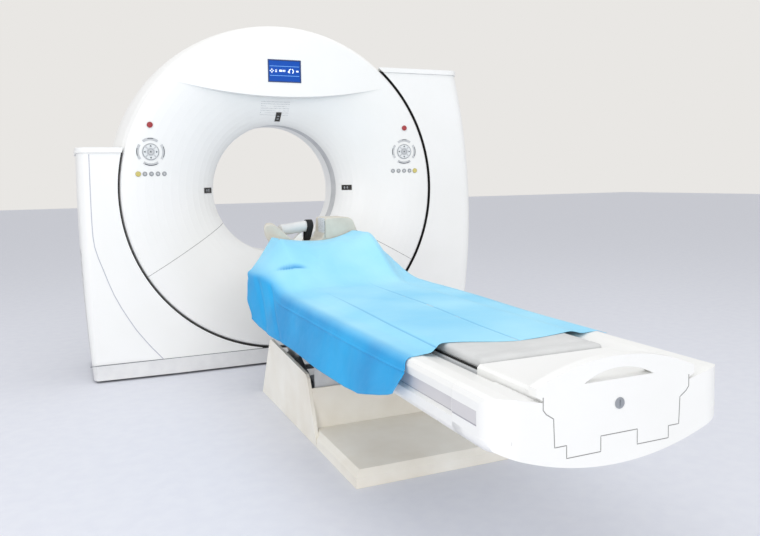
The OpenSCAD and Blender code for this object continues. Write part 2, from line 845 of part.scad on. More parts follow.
module table_base_frame() color(machine_grey) {
    w = base_w - 14 - touch;
    rail_x = inner_x - 28;
    difference() {
        translate([-w, -base_foot + 62 + touch, 0])
            cube([2 * w, base_foot - 62 - touch - base_head - 15, 14]);
        for (sx = [-1, 1]) for (sy = [-1, 1])
            translate([sx * base_anchor_x, -base_mid + sy * base_anchor_y, -1])
                cylinder(h = 16, r = anchor_r);
    }
    for (side = [LEFT, RIGHT]) {
        e0 = side > 0 ? ear_in : -ear_in - ear_t;
        difference() {
            translate([e0, -pivot_y - 32, 13]) cube([ear_t, 64, pivot_z + 17]);
            shaft(e0 - 1, e0 + ear_t + 1, pivot_y, pivot_z, pin_r + run_play);
        }
        r0 = side > 0 ? rail_x - 2 : -rail_x - 26;
        web = side > 0 ? rail_x - 9 : -rail_x + 2;
        for (z = [pivot_z - roller_r - touch - 8, pivot_z + roller_r + touch])
            translate([r0, -channel_to, z]) cube([28, channel_to - channel_from, 8]);
        translate([web, -channel_to, 13])
            cube([7, channel_to - channel_from, pivot_z + roller_r + touch + 8 - 13]);
    }
}

module carriage_frame() color(machine_grey) {
    reach = cover_w - 7;
    rail_w = 28;
    for (side = [LEFT, RIGHT]) {
        b0 = side > 0 ? beam_in : -beam_out;
        translate([b0, -foot_y + 100, beam_low])
            cube([beam_out - beam_in, foot_y - 100 - head_y - 30, beam_high - beam_low]);
        for (y = brackets)
            translate([side > 0 ? beam_out : -reach, -y - 30, 478]) cube([reach - beam_out, 60, 14]);
        e0 = side > 0 ? inner_x + bar_t + 1 : -inner_x - bar_t - 15;
        difference() {
            translate([e0, -pivot_y - 30, top_pivot_z - 30]) cube([14, 60, beam_low - top_pivot_z + 31]);
            shaft(e0 - 1, e0 + 15, pivot_y, top_pivot_z, pin_r + run_play);
        }
        r0 = side > 0 ? inner_x - 4 : -inner_x + 4 - rail_w;
        web = side > 0 ? inner_x - 10 : -inner_x + 3;
        translate([r0, -channel_to, top_pivot_z - roller_r - touch - 6])
            cube([rail_w, channel_to - channel_from, 6]);
        translate([r0, -channel_to, top_pivot_z + roller_r + touch])
            cube([rail_w, channel_to - channel_from, beam_low - top_pivot_z - roller_r]);
        translate([web, -channel_to, top_pivot_z - roller_r - touch - 6])
            cube([7, channel_to - channel_from, beam_low - top_pivot_z + roller_r + 8]);
        translate([side > 0 ? 150 : -175, -rail_foot, beam_high - 1]) cube([25, rail_foot - head_y - 30, 13]);
    }
    for (y = [830, base_foot, 2520])
        translate([-beam_in - 5, -y - 30, beam_low]) cube([2 * beam_in + 10, 60, beam_high - beam_low]);
}

// Section of the right side cover: shoulder, rail groove and lower lip.
module side_section() {
    w = cover_w;
    h = shoulder_h;
    polygon([
        [deck_side + 4, h - 29], [deck_side + 10, h - 19], [w - 55, h - 2], [w - 20, h],
        [w - 6, h - 6], [w, h - 19], [w, h - 40], [w - 11, h - 45], [w - 11, h - 81], [w, h - 87],
        [w - 2, h - 115], [w - 12, skirt_h + 5], [w - 30, skirt_h], [w - 30, skirt_h + 5],
        [w - 16, skirt_h + 10], [w - 7, h - 112], [w - 5, h - 91], [w - 16, h - 85], [w - 16, h - 41],
        [w - 5, h - 36], [w - 5, h - 20], [w - 10, h - 10], [w - 21, h - 5], [w - 54, h - 7],
        [deck_side + 12, h - 24], [deck_side + 9, h - 29]]);
}

module side_cover(side) color(cover_white) {
    through_y(-foot_y + 190 + seam, -head_y) mirror([side > 0 ? 0 : 1, 0]) side_section();
}

module left_side_cover() side_cover(LEFT);
module right_side_cover() side_cover(RIGHT);

// Outline of the couch's foot end, less a margin: shoulders above, hull below.
module foot_section(m) {
    w = cover_w - m;
    h = shoulder_h - m;
    right_half = [[w - 18, 455], [w, 486], [w, h - 19], [w - 6, h - 6],
        [w - 20, h], [w - 55, h - 2], [deck_side, h - 20]];
    n = len(right_half);
    intersection() {
        translate([0, hull_h + hull_r]) circle(hull_r - m, $fn = 360);
        polygon(concat([[0, 300], [w - 60, 300]], right_half,
            [for (k = [n - 1:-1:0]) [-right_half[k][0], right_half[k][1]]], [[-w + 60, 300]]));
    }
}

// The foot end seen from above, with rounded corners, less a margin.
module foot_plan(m) {
    r = 70 - m;
    w = cover_w - m;
    y1 = -foot_y + m;
    translate([-w + r, y1]) square([2 * (w - r), 191 - m]);
    translate([-w, y1 + r]) square([2 * w, 191 - m - r]);
    for (s = [-1, 1]) translate([s * (w - r), y1 + r]) circle(r);
}

module foot_body(m) {
    intersection() {
        through_y(-foot_y - 10, -foot_y + 190 + (m > 0 ? 20 : 0)) foot_section(m);
        translate([0, 0, 300]) linear_extrude(400) union() {
            foot_plan(m);
            if (m > 0) translate([-cover_w + m, -foot_y + 150]) square([2 * (cover_w - m), 80]);
        }
    }
}

// Opening in the foot end for the moulding that closes the tabletop.
module moulding_outline(m) {
    side = foot_side + m;
    polygon([[-side, step_z - m], [-tab_out - m, step_z - m], [-tab_out - m, tab_z - m],
        [-tab_in + m, tab_z - m], [-tab_in + m, notch_z - m], [tab_in - m, notch_z - m],
        [tab_in - m, tab_z - m], [tab_out + m, tab_z - m], [tab_out + m, step_z - m],
        [side, step_z - m], [side + 3, 524], [side + 23, 537], [deck_side + m, 548],
        [deck_side + m, 576], [-deck_side - m, 576], [-deck_side - m, 548],
        [-side - 23, 537], [-side - 3, 524]]);
}

module foot_housing() color(cover_white) difference() {
    foot_body(0);
    foot_body(foot_shell);
    through_y(-foot_y - 20, -foot_y + 80) union() {
        moulding_outline(seam);
        translate([-deck_side - seam, 550]) square([2 * (deck_side + seam), 100]);
    }
    through_y(-foot_y + 5, -foot_y + 400) translate([-deck_side - 4, 520]) square([2 * deck_side + 8, 100]);
}

module belly_pan() color("#e9e9e6") difference() {
    through_y(-foot_y + 190 + seam, -base_foot + 40) pan_section(0);
    through_y(-foot_y + 100, -base_foot + 45) pan_section(4);
}

module pan_section(m) {
    intersection() {
        translate([0, hull_h + hull_r + 8]) circle(hull_r - m, $fn = 360);
        translate([-cover_w + 38 + m, 300]) square([2 * (cover_w - 38 - m), beam_low - touch - 300 + m]);
    }
}

module lift_skirt() color(trim_grey) {
    w = base_w - 30;
    through_x(-w, w) polygon([
        [-apron_y, 125], [-apron_y - 5, 125], [-apron_y - 5, beam_low - 6], [-base_foot + 45, beam_low - 6],
        [-base_foot + 45, beam_low - touch], [-apron_y, beam_low - touch]]);
}

module tabletop() color("#d8d9da") {
    y0 = -foot_y + foot_len;
    through_y(y0 + touch, -head_y - 20) difference() {
        polygon([[-180, top_low], [180, top_low], [top_w, top_edge - 20],
            [top_w, top_edge], [-top_w, top_edge], [-top_w, top_edge - 20]]);
        translate([0, top_edge + 1186]) circle(1200, $fn = 720);
    }
    for (side = [LEFT, RIGHT]) for (y = [860, 1600, 2300])
        translate([side > 0 ? 147 : -178, -y - 60, beam_high + 12 + touch])
            cube([31, 120, top_low - beam_high - 12 - touch + 1]);
}

module mattress() color("#dfe2e4") {
    w = top_w - 12;
    through_y(-foot_y + foot_len + 6, -head_y - 24) difference() {
        polygon([[-w, top_edge - 8], [w, top_edge - 8], [w, pad_top - 12],
            [w - 10, pad_top], [-w + 10, pad_top], [-w, pad_top - 12]]);
        difference() {
            translate([-w - 5, top_edge - 60]) square([2 * w + 10, 62]);
            translate([0, top_edge + 1186 + touch]) circle(1200, $fn = 720);
        }
    }
}

module foot_moulding() color(cover_white) {
    difference() {
        union() {
            through_y(-foot_y, -foot_y + foot_wall) {
                moulding_outline(0);
                polygon([[-deck_side, 570], [deck_side, 570], [handle_half, 580],
                    [handle_half, handle_z], [-handle_half, handle_z], [-handle_half, 580]]);
                intersection() {
                    translate([0, handle_peak - handle_r]) circle(handle_r, $fn = 360);
                    translate([-handle_half, handle_z - 1]) square([2 * handle_half, 100]);
                }
            }
            through_y(-foot_y + foot_wall - 1, -foot_y + foot_len)
                polygon([[-deck_side, 556], [-deck_side + 12, 556], [-deck_side + 22, 576],
                    [deck_side - 22, 576], [deck_side - 12, 556], [deck_side, 556], [deck_side, 580],
                    [deck_side - 8, 588], [-deck_side + 8, 588], [-deck_side, 580]]);
        }
        through_y(-foot_y - 5, -foot_y + foot_wall + 5) hand_slot();
        translate([0, -foot_y + foot_wall + 1, lock_z]) rotate([90, 0, 0])
            cylinder(h = foot_wall + 5, r = lock_r + run_play);
    }
}

module hand_slot() intersection() {
    translate([0, slot_peak - slot_r]) circle(slot_r, $fn = 180);
    translate([-slot_r, slot_low]) square([2 * slot_r, 100]);
}

module foot_lock() color(steel_grey) translate([0, -foot_y, lock_z]) rotate([90, 0, 0]) difference() {
    translate([0, 0, -foot_wall + 4]) cylinder(h = foot_wall - 2, r = lock_r, $fn = 60);
    translate([-1.5, -8, 0.5]) cube([3, 16, 5]);
}

function head_rest_z(x) = 741 + 54 * pow(x / 250, 2);

// Section of the head holder: a hollow between a low left wing and a broad right wing.
module holder_section()
    polygon([[-150, 729], [-236, 752], [-266, 800], [-268, 828], [-258, 848], [-238, 858], [-218, 855],
        [-203, 842], [-176, 790], [-140, 767], [-75, hollow_z], [floor_right, hollow_z], [45, 768], [62, 800],
        [65, 862], [78, 877], [166, 877], [205, 866], [232, 840], [243, 800], [222, 752], [120, 729]]);

// The trough under the head, its winged holder, the foot it stands on, and a saddle for the roll.
module head_cradle() color(trim_grey) {
    half = 240;
    steps = 12;
    xs = [for (k = [0:steps]) -half + 2 * half * k / steps];
    through_y(-960, -holder_foot + 1) polygon(concat(
        [for (x = xs) [x, head_rest_z(x)]],
        [for (k = [steps:-1:0]) [xs[k] * 0.96, head_rest_z(xs[k]) - 26]]));
    through_y(-holder_foot, -holder_head) holder_section();
    through_y(-940, -holder_foot + 24)
        polygon([[-110, pad_top + touch], [110, pad_top + touch], [90, 731], [-90, 731]]);
    through_y(roll_at[1] - 15, roll_at[1] + 15)
        polygon([[-34, hollow_z - 1], [loop_x, hollow_z - 1], [loop_x - 4, 797.5], [-30, 797.5]]);
}

// A roll of foam lying on the saddle and against the left wing.
module head_cushion() color("#d5d7d6")
    translate(roll_at) rotate([0, 90 - roll_lean, 0]) cylinder(h = roll_len, r = roll_r, center = true);

// A loop of black webbing round the end of the roll, standing in the hollow.
module head_strap() color(black)
    translate([loop_x, roll_at[1], hollow_z + loop_r + touch]) rotate([0, 90, 0])
        rotate_extrude($fn = 72) translate([loop_r - loop_t, 0]) square([loop_t, loop_w]);

function ease(t) = t <= 0 ? 0 : t >= 1 ? 1 : t * t * (3 - 2 * t);

// The sheet: flat over the mattress, raised over the head rest, hanging down on the left. Its foot
// edge runs askew, and its head corner on the left is turned back.
function flat_z(x) = shoulder_h + 3 + (pad_top - shoulder_h) * ease((260 - abs(x)) / 60);
function raised_mid(x) = 762 + (x > 0 ? 50 : 36) * pow(x / 255, 2);
function raised_z(x) = abs(x) <= 255 ? raised_mid(x)
    : raised_mid(x > 0 ? 255 : -255) - (abs(x) - 255) * (x > 0 ? 1 : 1.35);
function rise(y) = ease((1400 + y) / 440);
function sheet_z(x, y) = flat_z(x) * (1 - rise(y)) + raised_z(x) * rise(y);
function sheet_y(x, t) = -(sheet_foot - sheet_skew * x) * (1 - t) - (head_y + max(-252 - x, 0) * 1.15) * t;
function sheet_at(x, t, off) = [x, sheet_y(x, t), sheet_z(x, sheet_y(x, t)) + off];
function hem_z(y) = sheet_hem + 120 * rise(y) + 130 * ease((-2250 - y) / 450);
function sheet_row(t, off) =
    let (fold = sheet_at(-sheet_crease, t, 0), y = sheet_y(-sheet_left, t))
    concat([for (x = sheet_x) sheet_at(x, t, off)],
        [[-sheet_crease - 12 - off, fold[1], fold[2] - 20],
         [-sheet_left + 10 - off, (fold[1] + y) / 2, (fold[2] + hem_z(y)) / 2],
         [-sheet_left - off, y, hem_z(y)]]);

// Two triangles for a four-sided patch.
function quad(a, b, c, d) = [[a, b, c], [a, c, d]];

module couch_sheet() color("#5bbdea") {
    stations = 16;
    rows = [for (k = [0:stations]) k / stations];
    low = [for (t = rows) each sheet_row(t, 0)];
    high = [for (t = rows) each sheet_row(t, sheet_t)];
    m = len(sheet_row(0, 0));
    n = len(rows);
    far = n * m;
    polyhedron(concat(low, high), concat(
        [for (j = [0:n - 2]) for (i = [0:m - 2])
            each quad(j * m + i, j * m + i + 1, (j + 1) * m + i + 1, (j + 1) * m + i)],
        [for (j = [0:n - 2]) for (i = [0:m - 2])
            each quad(far + j * m + i, far + (j + 1) * m + i,
                far + (j + 1) * m + i + 1, far + j * m + i + 1)],
        [for (i = [0:m - 2]) each quad(i, far + i, far + i + 1, i + 1)],
        [for (i = [0:m - 2])
            each quad((n - 1) * m + i, (n - 1) * m + i + 1,
                far + (n - 1) * m + i + 1, far + (n - 1) * m + i)],
        [for (j = [0:n - 2]) each quad(j * m, (j + 1) * m, far + (j + 1) * m, far + j * m)],
        [for (j = [0:n - 2])
            each quad(j * m + m - 1, far + j * m + m - 1, far + (j + 1) * m + m - 1, (j + 1) * m + m - 1)]),
        convexity = 8);
}

stand_frame();
tilt_bearings();
tilt_drive();
left_stand_cover();
right_stand_cover();
left_cap();
right_cap();
plinth();
vent_louvres();
tilt_frame();
front_upper_cover();
front_lower_cover();
rear_cover();
rim_cover();
scan_window();
display_frame();
display_screen();
laser_windows();
arc_keys();
rotor_drum();
xray_tube();
detector_array();
generators();
left_stop_button();
right_stop_button();
left_pad();
right_pad();
row_key(LEFT, 1);  // left_key_1
row_key(LEFT, 2);  // left_key_2
row_key(LEFT, 3);  // left_key_3
row_key(LEFT, 4);  // left_key_4
row_key(LEFT, 5);  // left_key_5
row_key(RIGHT, 1);  // right_key_1
row_key(RIGHT, 2);  // right_key_2
row_key(RIGHT, 3);  // right_key_3
row_key(RIGHT, 4);  // right_key_4
row_key(RIGHT, 5);  // right_key_5
table_base_frame();
left_cheek();
right_cheek();
base_box();
floor_plate();
cable_duct();
lift_drive();
outer_lift_arms();
inner_lift_arms();
carriage_frame();
left_side_cover();
right_side_cover();
foot_housing();
belly_pan();
lift_skirt();
tabletop();
mattress();
foot_moulding();
foot_lock();
head_cradle();
head_cushion();
head_strap();
couch_sheet();
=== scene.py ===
"""A whole-body CT scanner: tilting ring, floor stand, and a couch with a blue nonwoven sheet over it."""

import json
import math
from itertools import product

import bmesh
import bpy
from mathutils import Matrix, Vector, noise


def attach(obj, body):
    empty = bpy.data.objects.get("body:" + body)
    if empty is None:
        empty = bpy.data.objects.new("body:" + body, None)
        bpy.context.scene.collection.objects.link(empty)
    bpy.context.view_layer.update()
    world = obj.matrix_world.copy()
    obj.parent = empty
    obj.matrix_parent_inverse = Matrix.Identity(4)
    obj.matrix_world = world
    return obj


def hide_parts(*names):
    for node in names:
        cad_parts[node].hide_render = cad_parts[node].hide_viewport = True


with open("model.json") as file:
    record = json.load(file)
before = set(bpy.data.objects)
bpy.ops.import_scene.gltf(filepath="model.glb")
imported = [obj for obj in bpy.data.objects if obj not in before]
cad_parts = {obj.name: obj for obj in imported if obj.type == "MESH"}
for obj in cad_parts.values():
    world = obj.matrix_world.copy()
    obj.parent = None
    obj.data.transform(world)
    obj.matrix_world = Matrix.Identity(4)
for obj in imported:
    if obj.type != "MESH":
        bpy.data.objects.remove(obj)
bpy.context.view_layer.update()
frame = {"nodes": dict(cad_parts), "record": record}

# Sizes shared with the part, in metres. X runs to the right, Y towards the back, Z up.
ISO_HEIGHT = 1.030
BORE_RADIUS = 0.390
DISH_RADIUS = 0.880
DISH_ROUNDNESS = 1.7
FACE_DEPTH = 0.293
WINDOW_HALF = 0.045
SCREEN_HEIGHT = 0.684
RING_RADIUS = 0.932
EDGE_ROUNDING = 0.018
SEAM_ANGLE = 30
SIDES = ((-1, "left"), (1, "right"))
QUARTERS = (0, 90, 180, 270)
FRONTWARD = Vector((0, -1, 0))
TINY = 1e-9


def dish_depth(radius):
    """How far the front dish lies in front of the scan plane, as a y value."""
    if radius >= DISH_RADIUS:
        return -FACE_DEPTH
    inward = min((DISH_RADIUS - radius) / (DISH_RADIUS - BORE_RADIUS), 1.0)
    rounding = (1 - inward**DISH_ROUNDNESS) ** (1 / DISH_ROUNDNESS)
    return -(WINDOW_HALF + (FACE_DEPTH - WINDOW_HALF) * rounding)


def on_dish(x, z, proud=0.0):
    """A frame on the dish at x and z over the isocentre: its Z points out of the surface, its Y up it."""
    radius = math.hypot(x, z)
    step = 0.001
    lean = math.atan2(dish_depth(radius - step) - dish_depth(radius + step), 2 * step)
    outward = -Vector((math.sin(lean) * x / radius, math.cos(lean), math.sin(lean) * z / radius))
    across = Vector((0, 0, 1)).cross(outward).normalized()
    up = outward.cross(across)
    place = Vector((x, dish_depth(radius), ISO_HEIGHT + z)) + outward * proud
    turned = Matrix((across, up, outward)).transposed().to_4x4()
    return Matrix.Translation(place) @ turned


def standing(y):
    """A drawing's X and Y as X and Z, its thickness towards the back from y."""
    return Matrix.Translation((0, y, 0)) @ Matrix(((1, 0, 0), (0, 0, 1), (0, 1, 0))).to_4x4()


def in_scene(name, data):
    """A new object in the scene."""
    made = bpy.data.objects.new(name, data)
    bpy.context.scene.collection.objects.link(made)
    return made


# The camera, fitted to the photograph's ellipses and edges.
CAMERA_PLACE = (-1.2031, -4.4387, 1.0844)
CAMERA_AHEAD = (0.3952, 0.9155, -0.0747)
CAMERA_UP = (0.0452, 0.0619, 0.9970)


def place_camera():
    """Stands the camera where the photograph was taken."""
    data = bpy.data.cameras.new("camera")
    data.sensor_width = 36.0
    data.lens = 34.43
    data.shift_y = -0.0465
    data.clip_end = 60
    camera = in_scene("camera", data)
    ahead = Vector(CAMERA_AHEAD).normalized()
    right = ahead.cross(Vector(CAMERA_UP)).normalized()
    turned = Matrix((right, right.cross(ahead), -ahead)).transposed().to_4x4()
    camera.matrix_world = Matrix.Translation(CAMERA_PLACE) @ turned
    bpy.context.scene.camera = camera


# Materials. Their patterns follow the object's own coordinates, and a pattern's size is in real millimetres.
def paint(code):
    """An sRGB hex colour as the linear values a shader takes."""
    parts = [int(code[i : i + 2], 16) / 255 for i in (1, 3, 5)]
    return [c / 12.92 if c <= 0.04045 else ((c + 0.055) / 1.055) ** 2.4 for c in parts] + [1.0]


def add(tree, kind, settings=None, values=None, links=None):
    """Adds a node, with its settings, its sockets' values and what is linked into them."""
    made = tree.nodes.new(kind)
    for name, value in (settings or {}).items():
        setattr(made, name, value)
    for name, value in (values or {}).items():
        made.inputs[name].default_value = value
    for name, source in (links or {}).items():
        tree.links.new(source, made.inputs[name])
    return made


class Skin:
    """A material in the making: its nodes, its shader, and the place that its patterns follow."""

    def __init__(self, name, values):
        self.material = bpy.data.materials.new(name)
        self.material.use_nodes = True
        self.tree = self.material.node_tree
        self.tree.nodes.clear()
        self.shader = add(self.tree, "ShaderNodeBsdfPrincipled", values=values)
        add(self.tree, "ShaderNodeOutputMaterial", links={"Surface": self.shader.outputs[0]})
        self.place = add(self.tree, "ShaderNodeTexCoord").outputs["Object"]

    def feed(self, socket, output):
        """Links an output into one of the shader's sockets."""
        self.tree.links.new(output, self.shader.inputs[socket])

    def texture(self, kind, size_mm, settings=None, values=None):
        """A texture node with features of a real size."""
        values = {"Scale": 1000 / size_mm, **(values or {})}
        return add(self.tree, f"ShaderNodeTex{kind}", settings, values, {"Vector": self.place})

    def spots(self, size_mm, detail, values=None):
        """Soft noise from 0 to 1."""
        return self.texture("Noise", size_mm, values={"Detail": detail, **(values or {})}).outputs["Fac"]

    def ramp(self, share, colours, ends=(0.0, 1.0)):
        """A share turned into the colours between two."""
        made = add(self.tree, "ShaderNodeValToRGB", links={"Fac": share})
        for element, position, colour in zip(made.color_ramp.elements, ends, colours):
            element.position = position
            element.color = paint(colour)
        return made.outputs["Color"]

    def mottle(self, size_mm, colours, ends=(0.35, 0.65), detail=3.0):
        """Two colours that wander into each other."""
        return self.ramp(self.spots(size_mm, detail), colours, ends)

    def coat(self, *pattern):
        """A mottled base colour."""
        self.feed("Base Color", self.mottle(*pattern))

    def blend(self, share, first, second):
        """Two colours mixed by a share; the second is an output or a hex colour."""
        coded = isinstance(second, str)
        values = {"B": paint(second)} if coded else {}
        links = {"Factor": share, "A": first} if coded else {"Factor": share, "A": first, "B": second}
        return add(self.tree, "ShaderNodeMix", {"data_type": "RGBA"}, values, links).outputs["Result"]

    def roughen(self, size_mm, low, high):
        """Roughness that wanders between two values, as handled and wiped surfaces do."""
        values, share = {"To Min": low, "To Max": high}, self.spots(size_mm, 4.0)
        span = add(self.tree, "ShaderNodeMapRange", values=values, links={"Value": share})
        self.feed("Roughness", span.outputs["Result"])

    def relief(self, height, depth_mm):
        """Relief of a real depth."""
        values = {"Strength": 1.0, "Distance": depth_mm / 1000}
        bump = add(self.tree, "ShaderNodeBump", values=values, links={"Height": height})
        self.feed("Normal", bump.outputs[0])

    def grain(self, size_mm, depth_mm):
        """Fine relief of a real grain size and depth."""
        self.relief(self.spots(size_mm, 2.0), depth_mm)

    def layered(self, broad, fine):
        """A fine height on a broad one that counts six times as much."""
        made = add(self.tree, "ShaderNodeMath", {"operation": "MULTIPLY_ADD"}, {1: 6.0}, {0: broad, 2: fine})
        return made.outputs[0]


def painted_polyurethane():
    """Moulded polyurethane in satin paint: soft highlights over a faint orange peel of about 3 mm."""
    skin = Skin("painted_polyurethane", {"IOR": 1.5})
    skin.coat(420, ("#f1f1ee", "#f4f4f2"))
    skin.roughen(160, 0.3, 0.42)
    skin.grain(3.0, 0.02)
    return skin.material


def moulded_abs(name, pale, dark, rough=(0.4, 0.55)):
    """Moulded ABS with a spark-eroded texture: matt, with a pebble of about 1.2 mm drawn at 2 mm to show."""
    skin = Skin(name, {"IOR": 1.53})
    skin.coat(60, (dark, pale))
    skin.roughen(40, *rough)
    skin.grain(2.0, 0.05)
    return skin.material


def powder_coated_steel(name, pale, dark, soil=None):
    """Powder-coated steel: an even, finely pebbled skin; soil adds the smudges of feet and wiping."""
    skin = Skin(name, {"IOR": 1.5})
    coat = skin.mottle(220, (dark, pale))
    if soil:
        marks = skin.spots(1000 / 2.6, 4.0, {"Roughness": 0.5})
        reach = {"From Min": 0.42, "From Max": 0.72, "To Max": 0.6}
        mask = add(skin.tree, "ShaderNodeMapRange", values=reach, links={"Value": marks})
        coat = skin.blend(mask.outputs["Result"], coat, soil)
    skin.feed("Base Color", coat)
    skin.roughen(90, 0.42, 0.6)
    skin.grain(1.6, 0.04)
    return skin.material


def machined(name, colour, rough):
    """Turned or milled metal: bright, with fine tool marks that run along one way."""
    skin = Skin(name, {"Metallic": 1.0})
    skin.coat(35, (colour, "#c9ccd0"), (0.3, 0.9))
    along_the_tool = {"Scale": (1.0, 12.0, 60.0)}
    mapping = add(skin.tree, "ShaderNodeMapping", values=along_the_tool, links={"Vector": skin.place})
    skin.place = mapping.outputs[0]
    skin.roughen(50, rough - 0.08, rough + 0.1)
    skin.grain(30, 0.02)
    return skin.material


def printed_ink(name, colour):
    """Screen-printed ink under a matt film: flat colour, slightly duller than the plastic round it."""
    skin = Skin(name, {"IOR": 1.5, "Base Color": paint(colour)})
    skin.roughen(6, 0.5, 0.62)
    return skin.material


def lit_glass(name, colour, glow):
    """A liquid-crystal display behind anti-reflective glass: even light of its own under a weak gloss."""
    shade = {"Base Color": paint(colour), "Emission Color": paint(colour), "Emission Strength": glow}
    skin = Skin(name, {"IOR": 1.52, "Specular IOR Level": 0.2, **shade})
    skin.roughen(25, 0.12, 0.2)
    return skin.material


def smoked_acrylic():
    """Cast acrylic with a smoke tint: nearly black and mirror-smooth, so that it glints."""
    skin = Skin("smoked_acrylic", {"IOR": 1.49, "Coat Weight": 0.5, "Coat Roughness": 0.04})
    skin.coat(30, ("#161413", "#262321"))
    skin.roughen(15, 0.08, 0.16)
    return skin.material


def embossed_vinyl():
    """Vinyl film on foam: a hide grain of about 1.5 mm, drawn at 3 mm to show, with a soft sheen."""
    skin = Skin("embossed_vinyl", {"IOR": 1.52, "Sheen Weight": 0.08, "Sheen Roughness": 0.5})
    skin.coat(110, ("#cdcecd", "#d8d9d8"), (0.3, 0.7))
    skin.roughen(45, 0.42, 0.56)
    cells = skin.texture("Voronoi", 3.0, {"feature": "DISTANCE_TO_EDGE"}).outputs["Distance"]
    skin.relief(skin.layered(skin.spots(35, 3.0), cells), 0.25)
    return skin.material


def skinned_foam():
    """Self-skinning polyurethane foam: warm grey, dull, with shallow pock marks a few millimetres apart."""
    skin = Skin("skinned_foam", {"IOR": 1.45, "Sheen Weight": 0.05})
    skin.coat(70, ("#cbc6b9", "#d7d2c5"))
    skin.roughen(30, 0.55, 0.7)
    skin.relief(skin.texture("Voronoi", 4.5).outputs["Distance"], 0.3)
    return skin.material


def looped_felt():
    """Brushed loop pile for hook fastening: mottled grey tufts about 2.5 mm across, with no gloss."""
    skin = Skin("looped_felt", {"IOR": 1.46, "Roughness": 0.92, "Sheen Weight": 0.4})
    skin.coat(5.0, ("#c3c7cc", "#f4f5f7"), (0.4, 0.62), 4.0)
    skin.grain(2.5, 1.2)
    return skin.material


def woven_webbing():
    """Black polyester webbing, with soft ribs along the strap 12.6 mm apart.

    A wave repeats every 0.314 of its size.
    """
    skin = Skin("woven_webbing", {"IOR": 1.5, "Roughness": 0.8, "Sheen Weight": 0.03})
    waves = {"wave_type": "BANDS", "bands_direction": "X"}
    unevenness = {"Distortion": 0.8, "Detail": 2.0, "Detail Scale": 2.0}
    ribs = skin.texture("Wave", 40, waves, unevenness).outputs["Fac"]
    skin.feed("Base Color", skin.ramp(ribs, ("#050608", "#101114")))
    skin.relief(ribs, 0.5)
    return skin.material


def spunbond_nonwoven():
    """Spunbond polypropylene: a limp web with bond points 1.5 mm apart, drawn at 4 mm to show.

    It is thin: the white couch shows through it from behind, and the top is also painted paler as painted
    light; where it hangs free it is painted a deeper blue as painted shade, and its folds darker still as
    painted shade.
    """
    skin = Skin("spunbond_nonwoven", {"IOR": 1.49, "Sheen Weight": 0.02, "Sheen Roughness": 0.6})
    # Painted light and shade: over is the top's colour, paler partly for the white couch behind it and partly
    # as painted light; free is the hanging part's deeper blue, painted shade.
    over = skin.mottle(420, ("#86d3f4", "#a6e4fa"), (0.32, 0.68), 2.0)
    free = skin.mottle(260, ("#0295d6", "#0caae8"), (0.34, 0.66), 2.0)
    backed_and_lit = add(skin.tree, "ShaderNodeAttribute", {"attribute_name": "backed_and_lit"}).outputs["Fac"]
    fold_shade = add(skin.tree, "ShaderNodeAttribute", {"attribute_name": "fold_shade"}).outputs["Fac"]
    # Painted shade: the folds and the short crease on the slope are painted a darker blue, #2f93cf.
    skin.feed("Base Color", skin.blend(fold_shade, skin.blend(backed_and_lit, free, over), "#2f93cf"))
    skin.roughen(60, 0.5, 0.66)
    bonds = skin.texture("Voronoi", 4.0, values={"Randomness": 0.35}).outputs["Distance"]
    skin.relief(skin.layered(skin.spots(90, 5.0, {"Distortion": 1.2}), bonds), 0.3)
    return skin.material


def painted_black_shade():
    """Painted shade in the gaps: black and quite dull, with fine cells that take the light unevenly."""
    skin = Skin("painted_black_shade", {"IOR": 1.45})
    skin.coat(8, ("#0e0d0d", "#1d1c1b"))
    skin.roughen(5, 0.8, 0.95)
    skin.grain(3.0, 0.3)
    return skin.material


